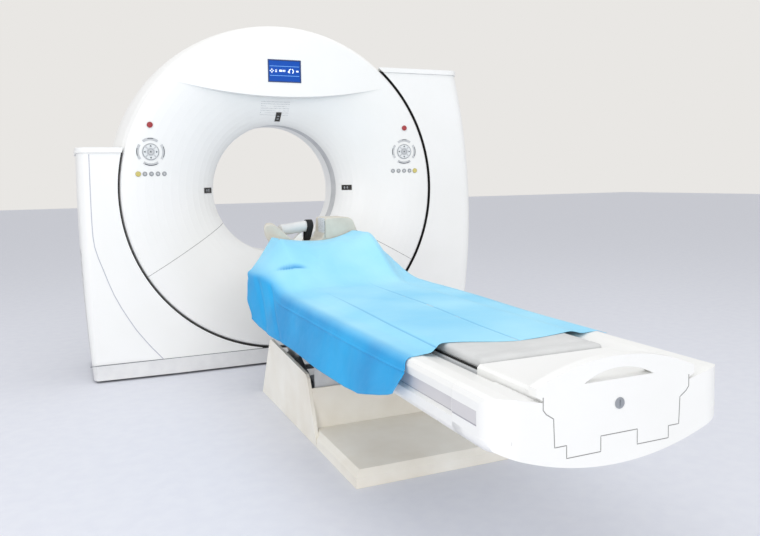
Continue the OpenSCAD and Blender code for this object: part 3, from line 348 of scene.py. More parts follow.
MATERIALS = {
    "cover_plastic": painted_polyurethane(),
    "plinth_plastic": moulded_abs("moulded_abs_plinth", "#e6e6e5", "#dfdfdf"),
    "base_paint": powder_coated_steel("powder_coated_base", "#fbf8ef", "#f4f0e5", soil="#ddd2bf"),
    "frame_paint": powder_coated_steel("powder_coated_frame", "#6f757c", "#646a71"),
    "bare_steel": machined("ground_steel", "#a3a7ab", 0.32),
    "rotor_metal": machined("milled_aluminium", "#b4b7ba", 0.4),
    "detector_paint": powder_coated_steel("powder_coated_detector", "#565b61", "#4a4f55"),
    "trim_plastic": moulded_abs("moulded_abs_trim", "#cccdce", "#bfc1c3"),
    "lamp_key": moulded_abs("yellow_lens", "#d8cb7c", "#c9bb68", (0.2, 0.3)),
    "stop_red": moulded_abs("red_abs", "#b3363a", "#9d2c31", (0.25, 0.35)),
    "bezel_plastic": moulded_abs("navy_abs_bezel", "#1c3f78", "#173566"),
    "screen_glass": lit_glass("lit_display", "#0d4aa6", 0.16),
    "window_glass": smoked_acrylic(),
    "tabletop_carbon": moulded_abs("gelcoat_laminate", "#d9dbdc", "#cfd1d2"),
    "pad_vinyl": embossed_vinyl(),
    "head_foam": skinned_foam(),
    "strap_web": woven_webbing(),
    "sheet_cloth": spunbond_nonwoven(),
    "hook_felt": looped_felt(),
    # Black painted shade in the running gap and in the slots beside the tabletop and the mat.
    "black_gap_shade": painted_black_shade(),
    "shadow_gap": printed_ink("shadowed_joint", "#8a8a88"),
    # Painted shade along the crease on the stand's front.
    "crease_shade": printed_ink("painted_crease_shade", "#b9bac4"),
    # Painted shade in the couch's side rail: a grey band, and a darker painted shadow line at its foot.
    "rail_recess_shade": printed_ink("rail_recess_shade", "#d2d0d2"),
    "rail_shadow": printed_ink("rail_shadow_line", "#a7a5ac"),
    # Grey print on the controls; the same ink is the painted shade in the speaker holes.
    "grey_legend_and_hole_shade": printed_ink("grey_ink_and_hole_shade", "#909497"),
    "legend_pale": printed_ink("pale_print", "#e4e6e6"),
    # Dark print on the pads; the same ink is painted shade at the arc keys' edges and painted shadow in the
    # plinth's joints.
    "dark_legend_and_shade": printed_ink("dark_ink_and_shade", "#50565b"),
    "display_line": lit_glass("lit_line", "#77aee8", 0.45),
    "display_white": lit_glass("lit_symbols", "#e6f0fb", 0.45),
}

for part in frame["record"]["subparts"]:
    node = frame["nodes"][part["node"]]
    node.data.materials.clear()
    node.data.materials.append(MATERIALS[part["material_slot"]])


# The studio: a plain floor, pale surroundings and soft lights.
LAMPS = [  # name, place, size, power and the point it faces
    ("ceiling", (-0.3, -1.6, 4.6), (5.0, 5.0), 62, (0, -0.8, 0.6)),
    ("front", (-1.0, -13.0, 4.2), (8.0, 5.0), 330, (0, -1.5, 0.8)),
    ("front_left", (-4.2, -4.6, 2.2), (2.5, 2.5), 28, (0, -0.6, 0.6)),
    ("low_left", (-4.4, -5.4, 1.3), (2.5, 1.8), 26, (0, -1.2, 0.1)),
]
FLOOR_HALF = 30
FLOOR_DROP = 0.0005  # keeps the floor clear of the undersides that stand on it


def lamp(name, place, size, power, towards):
    """A soft rectangular light."""
    data = bpy.data.lights.new(name, "AREA")
    data.shape = "RECTANGLE"
    data.size, data.size_y = size
    data.energy = power
    lit = in_scene(name, data)
    lit.location = place
    lit.rotation_euler = (Vector(towards) - Vector(place)).to_track_quat("-Z", "Y").to_euler()


def studio():
    """Lights the scene: the camera and glossy surfaces see a warm pale grey, all else gets a cooler light."""
    world = bpy.data.worlds.new("studio")
    bpy.context.scene.world = world
    world.use_nodes = True
    tree = world.node_tree
    tree.nodes.clear()
    path = add(tree, "ShaderNodeLightPath")
    seen = path.outputs["Is Camera Ray"]
    for ray in ("Is Glossy Ray", "Is Transmission Ray"):
        either = {0: seen, 1: path.outputs[ray]}
        seen = add(tree, "ShaderNodeMath", {"operation": "MAXIMUM"}, links=either).outputs[0]
    light = add(tree, "ShaderNodeBackground", values={"Color": paint("#f6f7fa"), "Strength": 0.76})
    shown = add(tree, "ShaderNodeBackground", values={"Color": paint("#e9e7e4"), "Strength": 1.0})
    mixed = add(tree, "ShaderNodeMixShader", links={0: seen, 1: light.outputs[0], 2: shown.outputs[0]})
    add(tree, "ShaderNodeOutputWorld", links={"Surface": mixed.outputs[0]})
    for settings in LAMPS:
        lamp(*settings)

    mesh = bpy.data.meshes.new("floor")
    corners = [(x * FLOOR_HALF, y * FLOOR_HALF, 0) for x, y in ((-1, -1), (1, -1), (1, 1), (-1, 1))]
    mesh.from_pydata(corners, [], [(0, 1, 2, 3)])
    floor = in_scene("floor", mesh)
    floor.location.z = -FLOOR_DROP
    floor.data.materials.append(moulded_abs("floor_vinyl", "#e3e5ec", "#e0e2ea", (0.6, 0.7)))


# Curves and lines.
def eased(t):
    """0 to 1 with a soft start and end."""
    t = min(max(t, 0.0), 1.0)
    return t * t * (3 - 2 * t)


def rise(at, start, span):
    """0 up to the start, 1 from a span beyond it."""
    return eased((at - start) / span)


def fall(at, end, span):
    """1 up to a span before the end, 0 beyond the end."""
    return eased((end - at) / span)


def along(points, at, way=eased):
    """The value at a place on a line of (place, value) pairs."""
    for (a, low), (b, high) in zip(points, points[1:]):
        if at <= b:
            return low + (high - low) * way((at - a) / (b - a))
    return points[-1][1]


def straight(points, at):
    """The same with straight runs between the pairs."""
    return along(points, at, lambda share: max(share, 0.0))


def groove(distance, width, depth):
    """A pressed line, as a dip of a real width and depth."""
    return -depth * math.exp(-((distance / width) ** 2))


def even(start, end, steps):
    """Evenly spaced values from start to end."""
    return [start + (end - start) * k / steps for k in range(steps + 1)]


def spot(radius, degrees):
    """The point at an angle on a circle."""
    return (radius * math.cos(math.radians(degrees)), radius * math.sin(math.radians(degrees)))


def arc(radius, start, end, steps, centre=(0.0, 0.0)):
    """Points on an arc, its angles in degrees."""
    spots = [spot(radius, degrees) for degrees in even(start, end, steps)]
    return [(centre[0] + x, centre[1] + y) for x, y in spots]


def ring_slice(inner, outer, start, end):
    """The outline of a sector of a flat ring."""
    return arc(outer, start, end, 12) + arc(inner, end, start, 12)


def oblong(left, low, right, high):
    """The outline of a rectangle."""
    return [(left, low), (right, low), (right, high), (left, high)]


def arrow(size):
    """A triangle that points up."""
    return [(-0.5 * size, -0.35 * size), (0.5 * size, -0.35 * size), (0.0, 0.5 * size)]


def turned_about(points, degrees, shift=(0.0, 0.0)):
    """An outline turned about its origin and then moved."""
    c, s = math.cos(math.radians(degrees)), math.sin(math.radians(degrees))
    return [(x * c - y * s + shift[0], x * s + y * c + shift[1]) for x, y in points]


# Pieces. A material is named by its key, and every piece rides on a body.
def piece(name, mesh, material, body, smooth=True):
    """An object from a finished mesh."""
    mesh.materials.append(MATERIALS[material])
    mesh.polygons.foreach_set("use_smooth", [smooth] * len(mesh.polygons))
    made = in_scene(name, mesh)
    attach(made, body)
    return made


def from_rows(name, rows, faces, material, body, smooth=True):
    """A piece from rows of points and faces over their running numbers."""
    mesh = bpy.data.meshes.new(name)
    mesh.from_pydata([tuple(point) for row in rows for point in row], [], faces)
    return piece(name, mesh, material, body, smooth)


def from_bmesh(name, made, material, body, smooth=True):
    """A piece from a bmesh, which is freed."""
    mesh = bpy.data.meshes.new(name)
    made.to_mesh(mesh)
    made.free()
    return piece(name, mesh, material, body, smooth)


def grid_faces(rows, columns, closed=False):
    """Quads over rows of points; closed joins each row's last point to its first."""
    last = columns if closed else columns - 1
    faces = []
    for near in range(0, (rows - 1) * columns, columns):
        far = near + columns
        for c in range(last):
            beside = (c + 1) % columns
            faces.append((near + c, near + beside, far + beside, far + c))
    return faces


def through_loops(name, rows, material, body, smooth=True):
    """A solid through closed loops of points, capped at both ends."""
    loop, count = len(rows[0]), len(rows)
    faces = grid_faces(count, loop, closed=True)
    faces += [tuple(range(loop)), tuple(range((count - 1) * loop, count * loop))[::-1]]
    return from_rows(name, rows, faces, material, body, smooth)


def soften(made, width, segments=3, angle=35):
    """Rounds the hard edges of a piece."""
    rounding = made.modifiers.new("edges", "BEVEL")
    rounding.width = width
    rounding.segments = segments
    rounding.limit_method = "ANGLE"
    rounding.angle_limit = math.radians(angle)
    rounding.harden_normals = True
    made.data.polygons.foreach_set("use_smooth", [True] * len(made.data.polygons))


def rounded_box(name, low, high, radius, cell, material, body, shape):
    """A closed box of even quads with rounded edges; shape moves each point."""
    low, high = Vector(low), Vector(high)
    counts = [max(2, round((high[i] - low[i]) / cell)) for i in range(3)]
    made = bmesh.new()
    found = {}

    def corner(i, j, k):
        if (i, j, k) not in found:
            at = Vector(low[n] + (high[n] - low[n]) * c / counts[n] for n, c in enumerate((i, j, k)))
            inner = Vector(min(max(at[n], low[n] + radius), high[n] - radius) for n in range(3))
            out = at - inner
            if out.length > TINY:
                at = inner + out.normalized() * min(radius, max(abs(c) for c in out))
            found[i, j, k] = made.verts.new(shape(at))
        return found[i, j, k]

    for axis in range(3):
        a, b = [n for n in range(3) if n != axis]
        for end, p, q in product((0, counts[axis]), range(counts[a]), range(counts[b])):
            ring = []
            for da, db in ((0, 0), (1, 0), (1, 1), (0, 1)):
                index = [0, 0, 0]
                index[axis], index[a], index[b] = end, p + da, q + db
                ring.append(corner(*index))
            made.faces.new(ring)
    bmesh.ops.recalc_face_normals(made, faces=made.faces)
    return from_bmesh(name, made, material, body)


def plate(name, outlines, thick, place, material, body, bevel=0.0):
    """Flat shapes of one thickness, drawn in the place's X and Y and standing along its Z."""
    made = bmesh.new()
    for outline in outlines:
        base = [made.verts.new(place @ Vector((x, y, 0))) for x, y in outline]
        top = [made.verts.new(place @ Vector((x, y, thick))) for x, y in outline]
        made.faces.new(base[::-1])
        made.faces.new(top)
        for i in range(len(base)):
            after = (i + 1) % len(base)
            made.faces.new((base[i], base[after], top[after], top[i]))
    bmesh.ops.recalc_face_normals(made, faces=made.faces)
    flat = from_bmesh(name, made, material, body, smooth=False)
    if bevel:
        soften(flat, bevel)
    return flat


def lathe(name, profile, place, material, body, around):
    """A turned form: (radius, height) pairs spun about the place's Z."""
    turns = [math.tau * k / around for k in range(around)]
    rows = []
    for radius, height in profile:
        rows.append([place @ Vector((radius * math.cos(t), radius * math.sin(t), height)) for t in turns])
    return from_rows(name, rows, grid_faces(len(rows), around, closed=True), material, body)


def ring_plate(name, inner, outer, thick, place, material, body):
    """A flat ring with a softly rounded rim."""
    edge = min(thick, (outer - inner) / 2) * 0.5
    profile = [(inner, 0.0), (inner, thick - edge), (inner + edge, thick)]
    profile += [(outer - edge, thick), (outer, thick - edge), (outer, 0.0)]
    return lathe(name, profile, place, material, body, 64)


def strip(name, path, width, material, body):
    """A thin closed strip along (point, outward) pairs lying on a surface."""
    proud, sunk = 0.0003, -0.0003
    rows = []
    for index, (point, out) in enumerate(path):
        ahead = path[min(index + 1, len(path) - 1)][0] - path[max(index - 1, 0)][0]
        side = ahead.cross(out).normalized() * width / 2
        over, under = point + out.normalized() * proud, point + out.normalized() * sunk
        rows.append([over - side, over + side, under + side, under - side])
    line = through_loops(name, rows, material, body, smooth=False)


# The sheet over the couch. Its u runs from the right edge to the hem on the left, its v from the foot edge
# to the head edge. A pair for rise or fall says where that starts or ends, and its span.
SHEET_TURN = 0.76  # share of the width that lies on top; the rest hangs on the left
FOLDS = [0.36, 0.64]  # the pressed folds on top, as shares of the width
FOLD_ENDS = [(-1.30, 0.35), (-1.45, 0.50)]
FOLD_WIDTH = 0.0040
FOLD_DEPTH = 0.0016
# The painted shade along the pressed folds on top:
FOLD_SHADE = (0.0035, 0.55)  # how wide and how strong its colour is
FOLD_LINES = [
    [(-2.7, 0.005), (-2.42, 0.017), (-2.0, 0.048), (-1.44, 0.063), (-0.77, 0.066)],
    [(-2.7, -0.244), (-2.29, -0.232), (-1.795, -0.208), (-1.44, -0.195), (-0.77, -0.175)],
]
FOOT_EDGE = [
    (0.0, -2.600), (0.36, -2.660), (0.60, -2.585), (0.68, -2.625), (0.76, -2.640), (0.84, -2.665),
    (0.93, -2.675), (1.0, -2.658),
]
HEAD_EDGE = [(0.0, -0.772), (0.62, -0.772), (0.76, -0.90), (0.81, -0.955), (0.90, -0.985), (1.0, -1.085)]
RIGHT_EDGE = [(-2.7, 0.384), (-1.5, 0.388), (-1.11, 0.385), (-0.81, 0.368), (-0.77, 0.362)]
HEM_HEIGHT = [
    (-2.68, 0.505), (-2.62, 0.482), (-2.55, 0.462), (-2.44, 0.434), (-2.37, 0.417), (-2.25, 0.407),
    (-2.0, 0.404), (-1.3, 0.403), (-1.18, 0.413), (-1.07, 0.437),
]
TURN_X = -0.338  # where the sheet turns down on the left, and how far that moves out at the head holder
TURN_SPREAD = 0.038
TURN_SPREADS = (-1.28, 0.32)
COVER_TOP = 0.5864  # the sheet's height on the side covers, and how much higher it lies on the mattress
MATTRESS_RISE = 0.0148
MATTRESS_EDGE = (0.285, 0.075)
HOLDER_EDGE = 0.245  # the sheet over the head holder's hollow and its two wings
HOLLOW_HEIGHT = 0.759
LEFT_RISE = 0.033
RIGHT_RISE = 0.043
RIGHT_CREST = 0.213
RIGHT_EDGE_HEIGHT = 0.798
LIFT_STARTS = (-1.42, 0.46)  # where it rises to that, and how much later and slower it does on the right
LIFT_LATER = (0.17, 0.04)
LATE_SIDE = (0.20, 0.17)
SLOPE_STARTS = (-1.5, 0.3)  # the wrinkles on that slope
SLOPE_ENDS = (-0.72, 0.15)
SLOPE_RIPPLE = 0.008
SLOPE_WRINKLE = 0.003
TOP_WRINKLE = 0.0007
RIDGE_FOOT = (-0.03, -1.1)  # a soft ridge that runs askew up the slope
RIDGE_LEAN = 0.6
RIDGE_SIZE = (0.05, 0.010)
DASH_X = -0.25  # the short crease at the foot of the slope
DASH_Y = -1.200
DASH_WIDTH = 0.0115
DASH_HALF = 0.055
DASH_DEPTH = 0.010
DROOP = 0.003  # the right edge dips over the side cover, and more so towards the foot
FOOT_DROOP = 0.010
DROOP_GROWS = (-1.6, 0.7)
DROOP_EDGE = (0.34, 0.045)
CORNER_SHARE = 0.13  # share of the hanging part that is in the bend over the cover's edge
CORNER_OUT = 0.0235
CORNER_DOWN = 0.0205
HEM_OUT = 0.036
BILLOW_LIMIT = 0.008
HANGING_WRINKLE = 0.0020
HANGING_FOLD = 0.24  # the pressed fold on the hanging part, as a share of its drop
HANGING_FOLD_SIZE = (0.020, 0.0045)
HANGING_FOLD_SINKS = (-2.3, 0.4)
HANGING_FOLD_FADES = (-1.2, 0.3)
LOOSE_FOLDS = [(-1.04, -0.24, 0.007), (-1.19, -0.30, 0.008)]  # the y at the turn, the lean and the depth
LOOSE_FOLD_WIDTH = 0.030
FOOT_CORNER = (-2.64, 0.05)
FOOT_CORNER_OUT = 0.012
COUCH_CLEAR = -0.3605  # the hanging part stays outside this x
SHEET_THICK = 0.0008
SHEET_ROWS = 250
SHEET_COLUMNS = 132
CLOSE_STEP = 0.002


def flat_height(x):
    """The sheet over the mattress and the side covers."""
    return COVER_TOP + MATTRESS_RISE * fall(abs(x), *MATTRESS_EDGE)


def raised_height(x):
    """The sheet over the head holder, hanging off to both sides."""
    if x > HOLDER_EDGE:
        return RIGHT_EDGE_HEIGHT - (x - HOLDER_EDGE) * 0.8
    if x > RIGHT_CREST:
        return HOLLOW_HEIGHT + RIGHT_RISE - (x - RIGHT_CREST) * 0.13
    if x > 0:
        return HOLLOW_HEIGHT + RIGHT_RISE * (x / RIGHT_CREST) ** 2.5
    if x > -HOLDER_EDGE:
        return HOLLOW_HEIGHT + LEFT_RISE * (-x / HOLDER_EDGE) ** 1.8
    return HOLLOW_HEIGHT + LEFT_RISE - (-x - HOLDER_EDGE) * 1.15


def sheet_height(x, y):
    """The sheet's height before folds and wrinkles; on the right it starts to rise later."""
    late = rise(x, *LATE_SIDE)
    start, span = [value + more * late for value, more in zip(LIFT_STARTS, LIFT_LATER)]
    lift = rise(y, start, span)
    return flat_height(x) * (1 - lift) + raised_height(x) * lift


def fold_mark(u, y, width):
    """How deep a pressed fold on top is at a place, from 0 to -1."""
    return min(groove(u - fold, width, 1.0) * fall(y, *end) for fold, end in zip(FOLDS, FOLD_ENDS))


def slope_dash(x, y):
    """The short crease where the sheet starts to rise over the head holder, from 0 to -1."""
    line = DASH_Y + 0.8 * max(DASH_X - x, 0.0) - 0.2 * max(x - DASH_X, 0.0)
    return groove(y - line, DASH_WIDTH, 1.0) * math.exp(-(((x - DASH_X) / DASH_HALF) ** 4))


def top_point(u, y, turn_x, ripple, fine):
    """A point on the couch, from the right edge to the turn."""
    knots = [(0.0, straight(RIGHT_EDGE, y))]
    knots += [(fold, straight(line, y)) for fold, line in zip(FOLDS, FOLD_LINES)]
    x = straight(knots + [(SHEET_TURN, turn_x)], u)
    slope = rise(y, *SLOPE_STARTS) * fall(y, *SLOPE_ENDS)
    z = sheet_height(x, y) + TOP_WRINKLE * fine + slope * (SLOPE_RIPPLE * abs(ripple) + SLOPE_WRINKLE * fine)
    z += FOLD_DEPTH * fold_mark(u, y, FOLD_WIDTH) + DASH_DEPTH * slope_dash(x, y)
    z -= slope * groove(x - RIDGE_FOOT[0] - RIDGE_LEAN * (y - RIDGE_FOOT[1]), *RIDGE_SIZE)
    droop = DROOP + FOOT_DROOP * fall(y, *DROOP_GROWS)
    return Vector((x, y, z - droop * rise(x, *DROOP_EDGE)))


def hanging_point(down, y, turn_x, ripple, fine):
    """A point beside the couch; down runs from the turn to the hem."""
    corner = min(down / CORNER_SHARE, 1.0) * math.pi / 2
    below = max(down - CORNER_SHARE, 0.0) / (1 - CORNER_SHARE)
    billow = 0.004 * math.sin(y * 9.5 + 1.2) + 0.008 * ripple
    x = turn_x - CORNER_OUT * math.sin(corner) - HEM_OUT * below**0.85
    x -= max(billow, -BILLOW_LIMIT) * below**1.2 + HANGING_WRINKLE * fine * eased(down / CORNER_SHARE)
    fold = HANGING_FOLD + 0.03 * fall(y, *HANGING_FOLD_SINKS)
    x += groove(down - fold, *HANGING_FOLD_SIZE) * fall(y, *HANGING_FOLD_FADES)
    for station, lean, deep in LOOSE_FOLDS:
        loose = groove(y - station - lean * down, LOOSE_FOLD_WIDTH, deep)
        x -= loose * eased(down * 4) * eased((1.15 - down) * 3)
    x -= FOOT_CORNER_OUT * fall(y, *FOOT_CORNER) * eased(down * 3 - 1)
    if below > 0:
        x = min(x, COUCH_CLEAR)
    top = sheet_height(turn_x, y)
    drop = top - CORNER_DOWN - straight(HEM_HEIGHT, y)
    return Vector((x, y, top - CORNER_DOWN * (1 - math.cos(corner)) - drop * below))


def sheet_point(u, v):
    """The point at a share of the sheet's width and a share of its length."""
    y = along(FOOT_EDGE, u) * (1 - v) + along(HEAD_EDGE, u) * v
    turn_x = TURN_X - TURN_SPREAD * rise(y, *TURN_SPREADS)
    ripple = noise.noise(Vector((u * 2.0, y * 1.8, 3.1)))
    fine = abs(noise.fractal(Vector((u * 7, y * 5, 0.4)), 0.8, 2.1, 3))
    if u <= SHEET_TURN:
        return top_point(u, y, turn_x, ripple, fine)
    return hanging_point((u - SHEET_TURN) / (1 - SHEET_TURN), y, turn_x, ripple, fine)


def sheet_columns():
    """Even places across the sheet, with closer ones at the pressed folds."""
    places = even(0.0, 1.0, SHEET_COLUMNS)
    hanging = SHEET_TURN + HANGING_FOLD * (1 - SHEET_TURN)
    close = [fold + k * CLOSE_STEP for fold in FOLDS + [hanging] for k in range(-4, 5)]
    clear = [p for p in places if min(abs(p - c) for c in close) > CLOSE_STEP / 2]
    return sorted(clear + close)


def draped_sheet():
    """The sheet, with two shares for its colour at each point: the paler top, backed by the couch and painted
    lighter as painted light, and the painted shade in a fold.
    """
    columns = sheet_columns()
    rows = [[sheet_point(u, v) for u in columns] for v in even(0.0, 1.0, SHEET_ROWS)]
    faces = grid_faces(len(rows), len(columns))
    sheet = from_rows("draped_sheet", rows, faces, "sheet_cloth", "couch_top")
    backed_and_lit, fold_shade = [], []
    width, strength = FOLD_SHADE
    for row in rows:
        for u, point in zip(columns, row):
            # Painted shade along the folds and along the short crease at the foot of the slope.
            dash = -slope_dash(point.x, point.y) if u < SHEET_TURN else 0.0
            # Painted light: the top takes the paler colour, the hanging part the deeper painted shade.
            backed_and_lit.append(1 - eased((u - SHEET_TURN + 0.03) / 0.07))
            fold_shade.append(max(-strength * fold_mark(u, point.y, width), dash))
    for name, shares in (("backed_and_lit", backed_and_lit), ("fold_shade", fold_shade)):
        sheet.data.attributes.new(name, "FLOAT", "POINT").data.foreach_set("value", shares)
    thick = sheet.modifiers.new("thickness", "SOLIDIFY")
    thick.thickness = SHEET_THICK
    thick.offset = 1.0
    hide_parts("couch_sheet")


# The mattress, the head holder and what lies in it.
MAT_HALF = 0.203
MAT_ENDS = (-2.794, -0.794)
MAT_HEIGHTS = (0.5665, 0.598)
MAT_MIDDLE = 0.58
MAT_SEAM = -2.745
HOLDER_FOOT = -0.764
HOLDER_LENGTH = 0.164
HOLDER_TAPER = 0.155
BAND_HEIGHT = 0.8325


def table_mat():
    """A foam mat in embossed vinyl, a little crowned, with a welted seam near its foot end."""

    def crowned(at):
        across = at.x / MAT_HALF
        at = at.copy()
        if at.z > MAT_MIDDLE:
            at.z += 0.0015 * (1 - min(abs(across), 1) ** 4) + 0.0008 * noise.noise(at * 9)
            at.z += groove(at.y - MAT_SEAM, 0.004, 0.003)
        else:
            at.z -= 0.0108 * (1 - across**2)
        return at

    low, high = zip((-MAT_HALF, MAT_HALF), MAT_ENDS, MAT_HEIGHTS)
    mat = rounded_box("table_mat", low, high, 0.012, 0.0125, "pad_vinyl", "couch_top", crowned)
    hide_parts("mattress")


def head_holder():
    """The shaped foam tray for the head: a hollow between a low left wing and a broad right wing."""
    outline = (
        [(-0.150, 0.729), (-0.244, 0.760), (-0.266, 0.800)]
        + arc(0.026, 180, 95, 6, (-0.243, 0.829))
        + [(-0.222, 0.854), (-0.206, 0.848), (-0.186, 0.832), (-0.142, 0.790), (-0.120, 0.773)]
        + [(-0.075, 0.757), (0.010, 0.757), (0.045, 0.768), (0.062, 0.800)]
        + arc(0.016, 175, 95, 5, (0.081, 0.862))
        + arc(0.050, 88, 20, 6, (0.184, 0.829))
        + [(0.2445, 0.812), (0.244, 0.780), (0.222, 0.752), (0.120, 0.729)]
    )
    holder = plate("head_holder", [outline], HOLDER_LENGTH, standing(HOLDER_FOOT), "head_foam", "couch_top")
    for vertex in holder.data.vertices:
        share = (vertex.co.y - HOLDER_FOOT) / HOLDER_LENGTH * eased(-vertex.co.x / 0.15)
        vertex.co.x *= 1 - HOLDER_TAPER * share
    soften(holder, 0.006, 4, 25)
    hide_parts("head_cradle")
    saddle = [(-0.104, 0.756), (-0.046, 0.756), (-0.046, 0.7995), (-0.058, 0.7975)]
    stem = [(-0.110, 0.6005), (0.110, 0.6005), (0.090, 0.731), (-0.090, 0.731)]
    for name, section, length, start, material, bevel in (
        ("roll_saddle", saddle, 0.030, -0.705, "cover_plastic", 0.002),
        ("head_stem", stem, 0.198, -0.938, "trim_plastic", 0.006),
    ):
        plate(name, [section], length, standing(start), material, "couch_top", bevel)
    inward = Matrix(((0, 0, -1), (1, 0, 0), (0, 1, 0))).to_4x4()
    wing = Matrix.Translation((0.0645, -0.757, 0.768)) @ inward
    pad = plate("hook_pad", [oblong(0.0, 0.0, 0.098, 0.108)], 0.004, wing, "hook_felt", "couch_top", 0.0015)
    edge = [(Vector((0.0625, -0.7648, z)), Vector((-0.4, -1, 0))) for z in (0.772, 0.80, 0.83, 0.862)]
    strip("hook_pad_edge", edge, 0.0035, "shadow_gap", "couch_top")


def head_trough():
    """The padded trough between the table and the holder, hollow along the neck."""
    half, bottom, hollowing, thick = 0.236, 0.7405, 0.800, 0.026
    rows = []
    for y in even(-0.958, -0.762, 12):
        hollow = [Vector((x, y, bottom + hollowing * x * x)) for x in even(-half, half, 28)]
        under = [Vector((p.x * 0.96, y, p.z - thick)) for p in reversed(hollow)]
        rows.append(hollow + under)
    trough = through_loops("head_trough", rows, "head_foam", "couch_top")
    soften(trough, 0.007, 3, 40)


def arm_bolster():
    """A stuffed roll lying on the saddle and against the left wing, gathered a little at its ends."""
    radius, half, gathered, slack = 0.0295, 0.0835, 0.010, 0.0010
    end = half - gathered
    profile = [(0.0005, -half), (0.016, -half), (0.025, -half + 0.003), (radius - 0.001, -end)]
    profile += [(radius + 0.0006 * math.sin(k * 0.9), at) for k, at in enumerate(even(-end, end, 24))]
    profile += [(0.025, half - 0.003), (0.016, half), (0.0005, half)]
    place = Matrix.Translation((-0.088, -0.690, 0.8265)) @ Matrix.Rotation(math.radians(83.5), 4, "Y")
    roll = lathe("arm_bolster", profile, place, "pad_vinyl", "couch_top", 48)
    for vertex in roll.data.vertices:
        vertex.co.z += slack * noise.noise(vertex.co * 28)
    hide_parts("head_cushion")


def strap_loop():
    """A band of black webbing, 34 mm wide, round the end of the roll and drawn together under it."""
    thick, crown = 0.0035, 0.0006
    half = Vector((0.017, 0, 0))
    path = arc(0.0330, -28, 208, 30, (-0.690, BAND_HEIGHT))
    path += [(-0.7125, 0.801), (-0.706, 0.783), (-0.700, 0.7665), (-0.690, 0.7612)]
    path += [(-0.680, 0.7665), (-0.674, 0.783), (-0.6675, 0.801)]
    rows = []
    for index, (y, z) in enumerate(path):
        before, after = path[index - 1], path[(index + 1) % len(path)]
        out = Vector((0, after[1] - before[1], before[0] - after[0])).normalized()
        middle = Vector((-0.005 - 0.16 * (BAND_HEIGHT - min(z, BAND_HEIGHT)), y, z))
        outer = [middle - half + out * thick, middle + out * (thick + crown), middle + half + out * thick]
        rows.append([middle - half, *outer, middle + half])
    rows.append(rows[0])
    faces = grid_faces(len(rows), len(rows[0]), closed=True)
    loop = from_rows("strap_loop", rows, faces, "strap_web", "couch_top")
    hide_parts("head_strap")


# Painted shadow in seams, gaps and slots, and other thin trim.
PLINTH_TOP = 0.0990
PLINTH_RUNS = (("left", -1.120, -0.140), ("right", 0.140, 1.228))
STAND_CREASE = [
    (-1.079, 1.236), (-1.080, 0.970), (-1.079, 0.860), (-1.077, 0.800), (-1.0707, 0.7425), (-1.0540, 0.680),
    (-1.0326, 0.6182), (-1.0100, 0.549), (-0.9839, 0.479), (-0.950, 0.406), (-0.9117, 0.336), (-0.876, 0.275),
    (-0.837, 0.2203), (-0.801, 0.172), (-0.763, 0.1268), (-0.742, 0.1015),
]
MOULDING_FACE = -3.0900
MOULDING_HALF = [
    (0.222, 0.578), (0.222, 0.548), (0.213, 0.537), (0.193, 0.524), (0.190, 0.455), (0.156, 0.455),
    (0.156, 0.424), (0.056, 0.424), (0.056, 0.462),
]
BORE_LIP = 0.0006
RAILS = [  # the part of the couch, its x, its ends and how much higher its rail lies
    ("cover", 0.344, (-0.80, -2.899), 0.0),
    ("foot", 0.355, (-2.9015, -3.016), 0.0058),
]
# Painted shade in the rail's recess, and a painted shadow line at its foot:
RAIL_STRIPS = [("recess_shade", 0.5222, 0.0325), ("shadow", 0.5040, 0.0034)]  # with height and width
LIP_SECTION = [
    (0.0015, 0.492), (-0.0004, 0.482), (0.0020, 0.470), (0.0120, 0.455), (0.0300, 0.450), (0.0300, 0.4545),
    (0.0160, 0.4600), (0.0070, 0.4730), (0.0060, 0.492),
]
LIP_STARTS = (-2.9015, -2.96, -3.022)
LIP_CENTRE = 0.287
LIP_REACH = 0.068
LIP_STEP = 4.4
GAP_ENDS = (166.5, 408.5)
GAP_DEPTHS = (0.2895, 0.2000)
GAP_SHELLS = (0.9806, 0.9866)
SLOT_SHADE_SECTION = [(0.2170, 0.532), (0.2256, 0.532), (0.2256, 0.5395), (0.2210, 0.5405), (0.2170, 0.5395)]
MAT_EDGE_SECTION = [(0.2035, 0.5665), (0.2075, 0.5665), (0.2075, 0.5700), (0.2065, 0.5705), (0.2035, 0.5705)]


def face_path(degrees):
    """From the bore over the ring's front and round its outer edge, at an angle round the bore."""
    across, up = spot(1.0, degrees)
    inner = BORE_RADIUS + BORE_LIP
    path = []
    for step in range(49):
        radius = inner + (RING_RADIUS - EDGE_ROUNDING - inner) * (step / 48) ** 1.5
        place = on_dish(radius * across, radius * up)
        path.append((place.translation.copy(), place.col[2].to_3d()))
    for turn in range(15, 106, 15):
        forward, outward = spot(1.0, turn)
        radius = RING_RADIUS - EDGE_ROUNDING * (1 - outward)
        depth = FACE_DEPTH - EDGE_ROUNDING * (1 - forward)
        point = Vector((radius * across, -depth, ISO_HEIGHT + radius * up))
        path.append((point, Vector((outward * across, -forward, outward * up))))
    return path


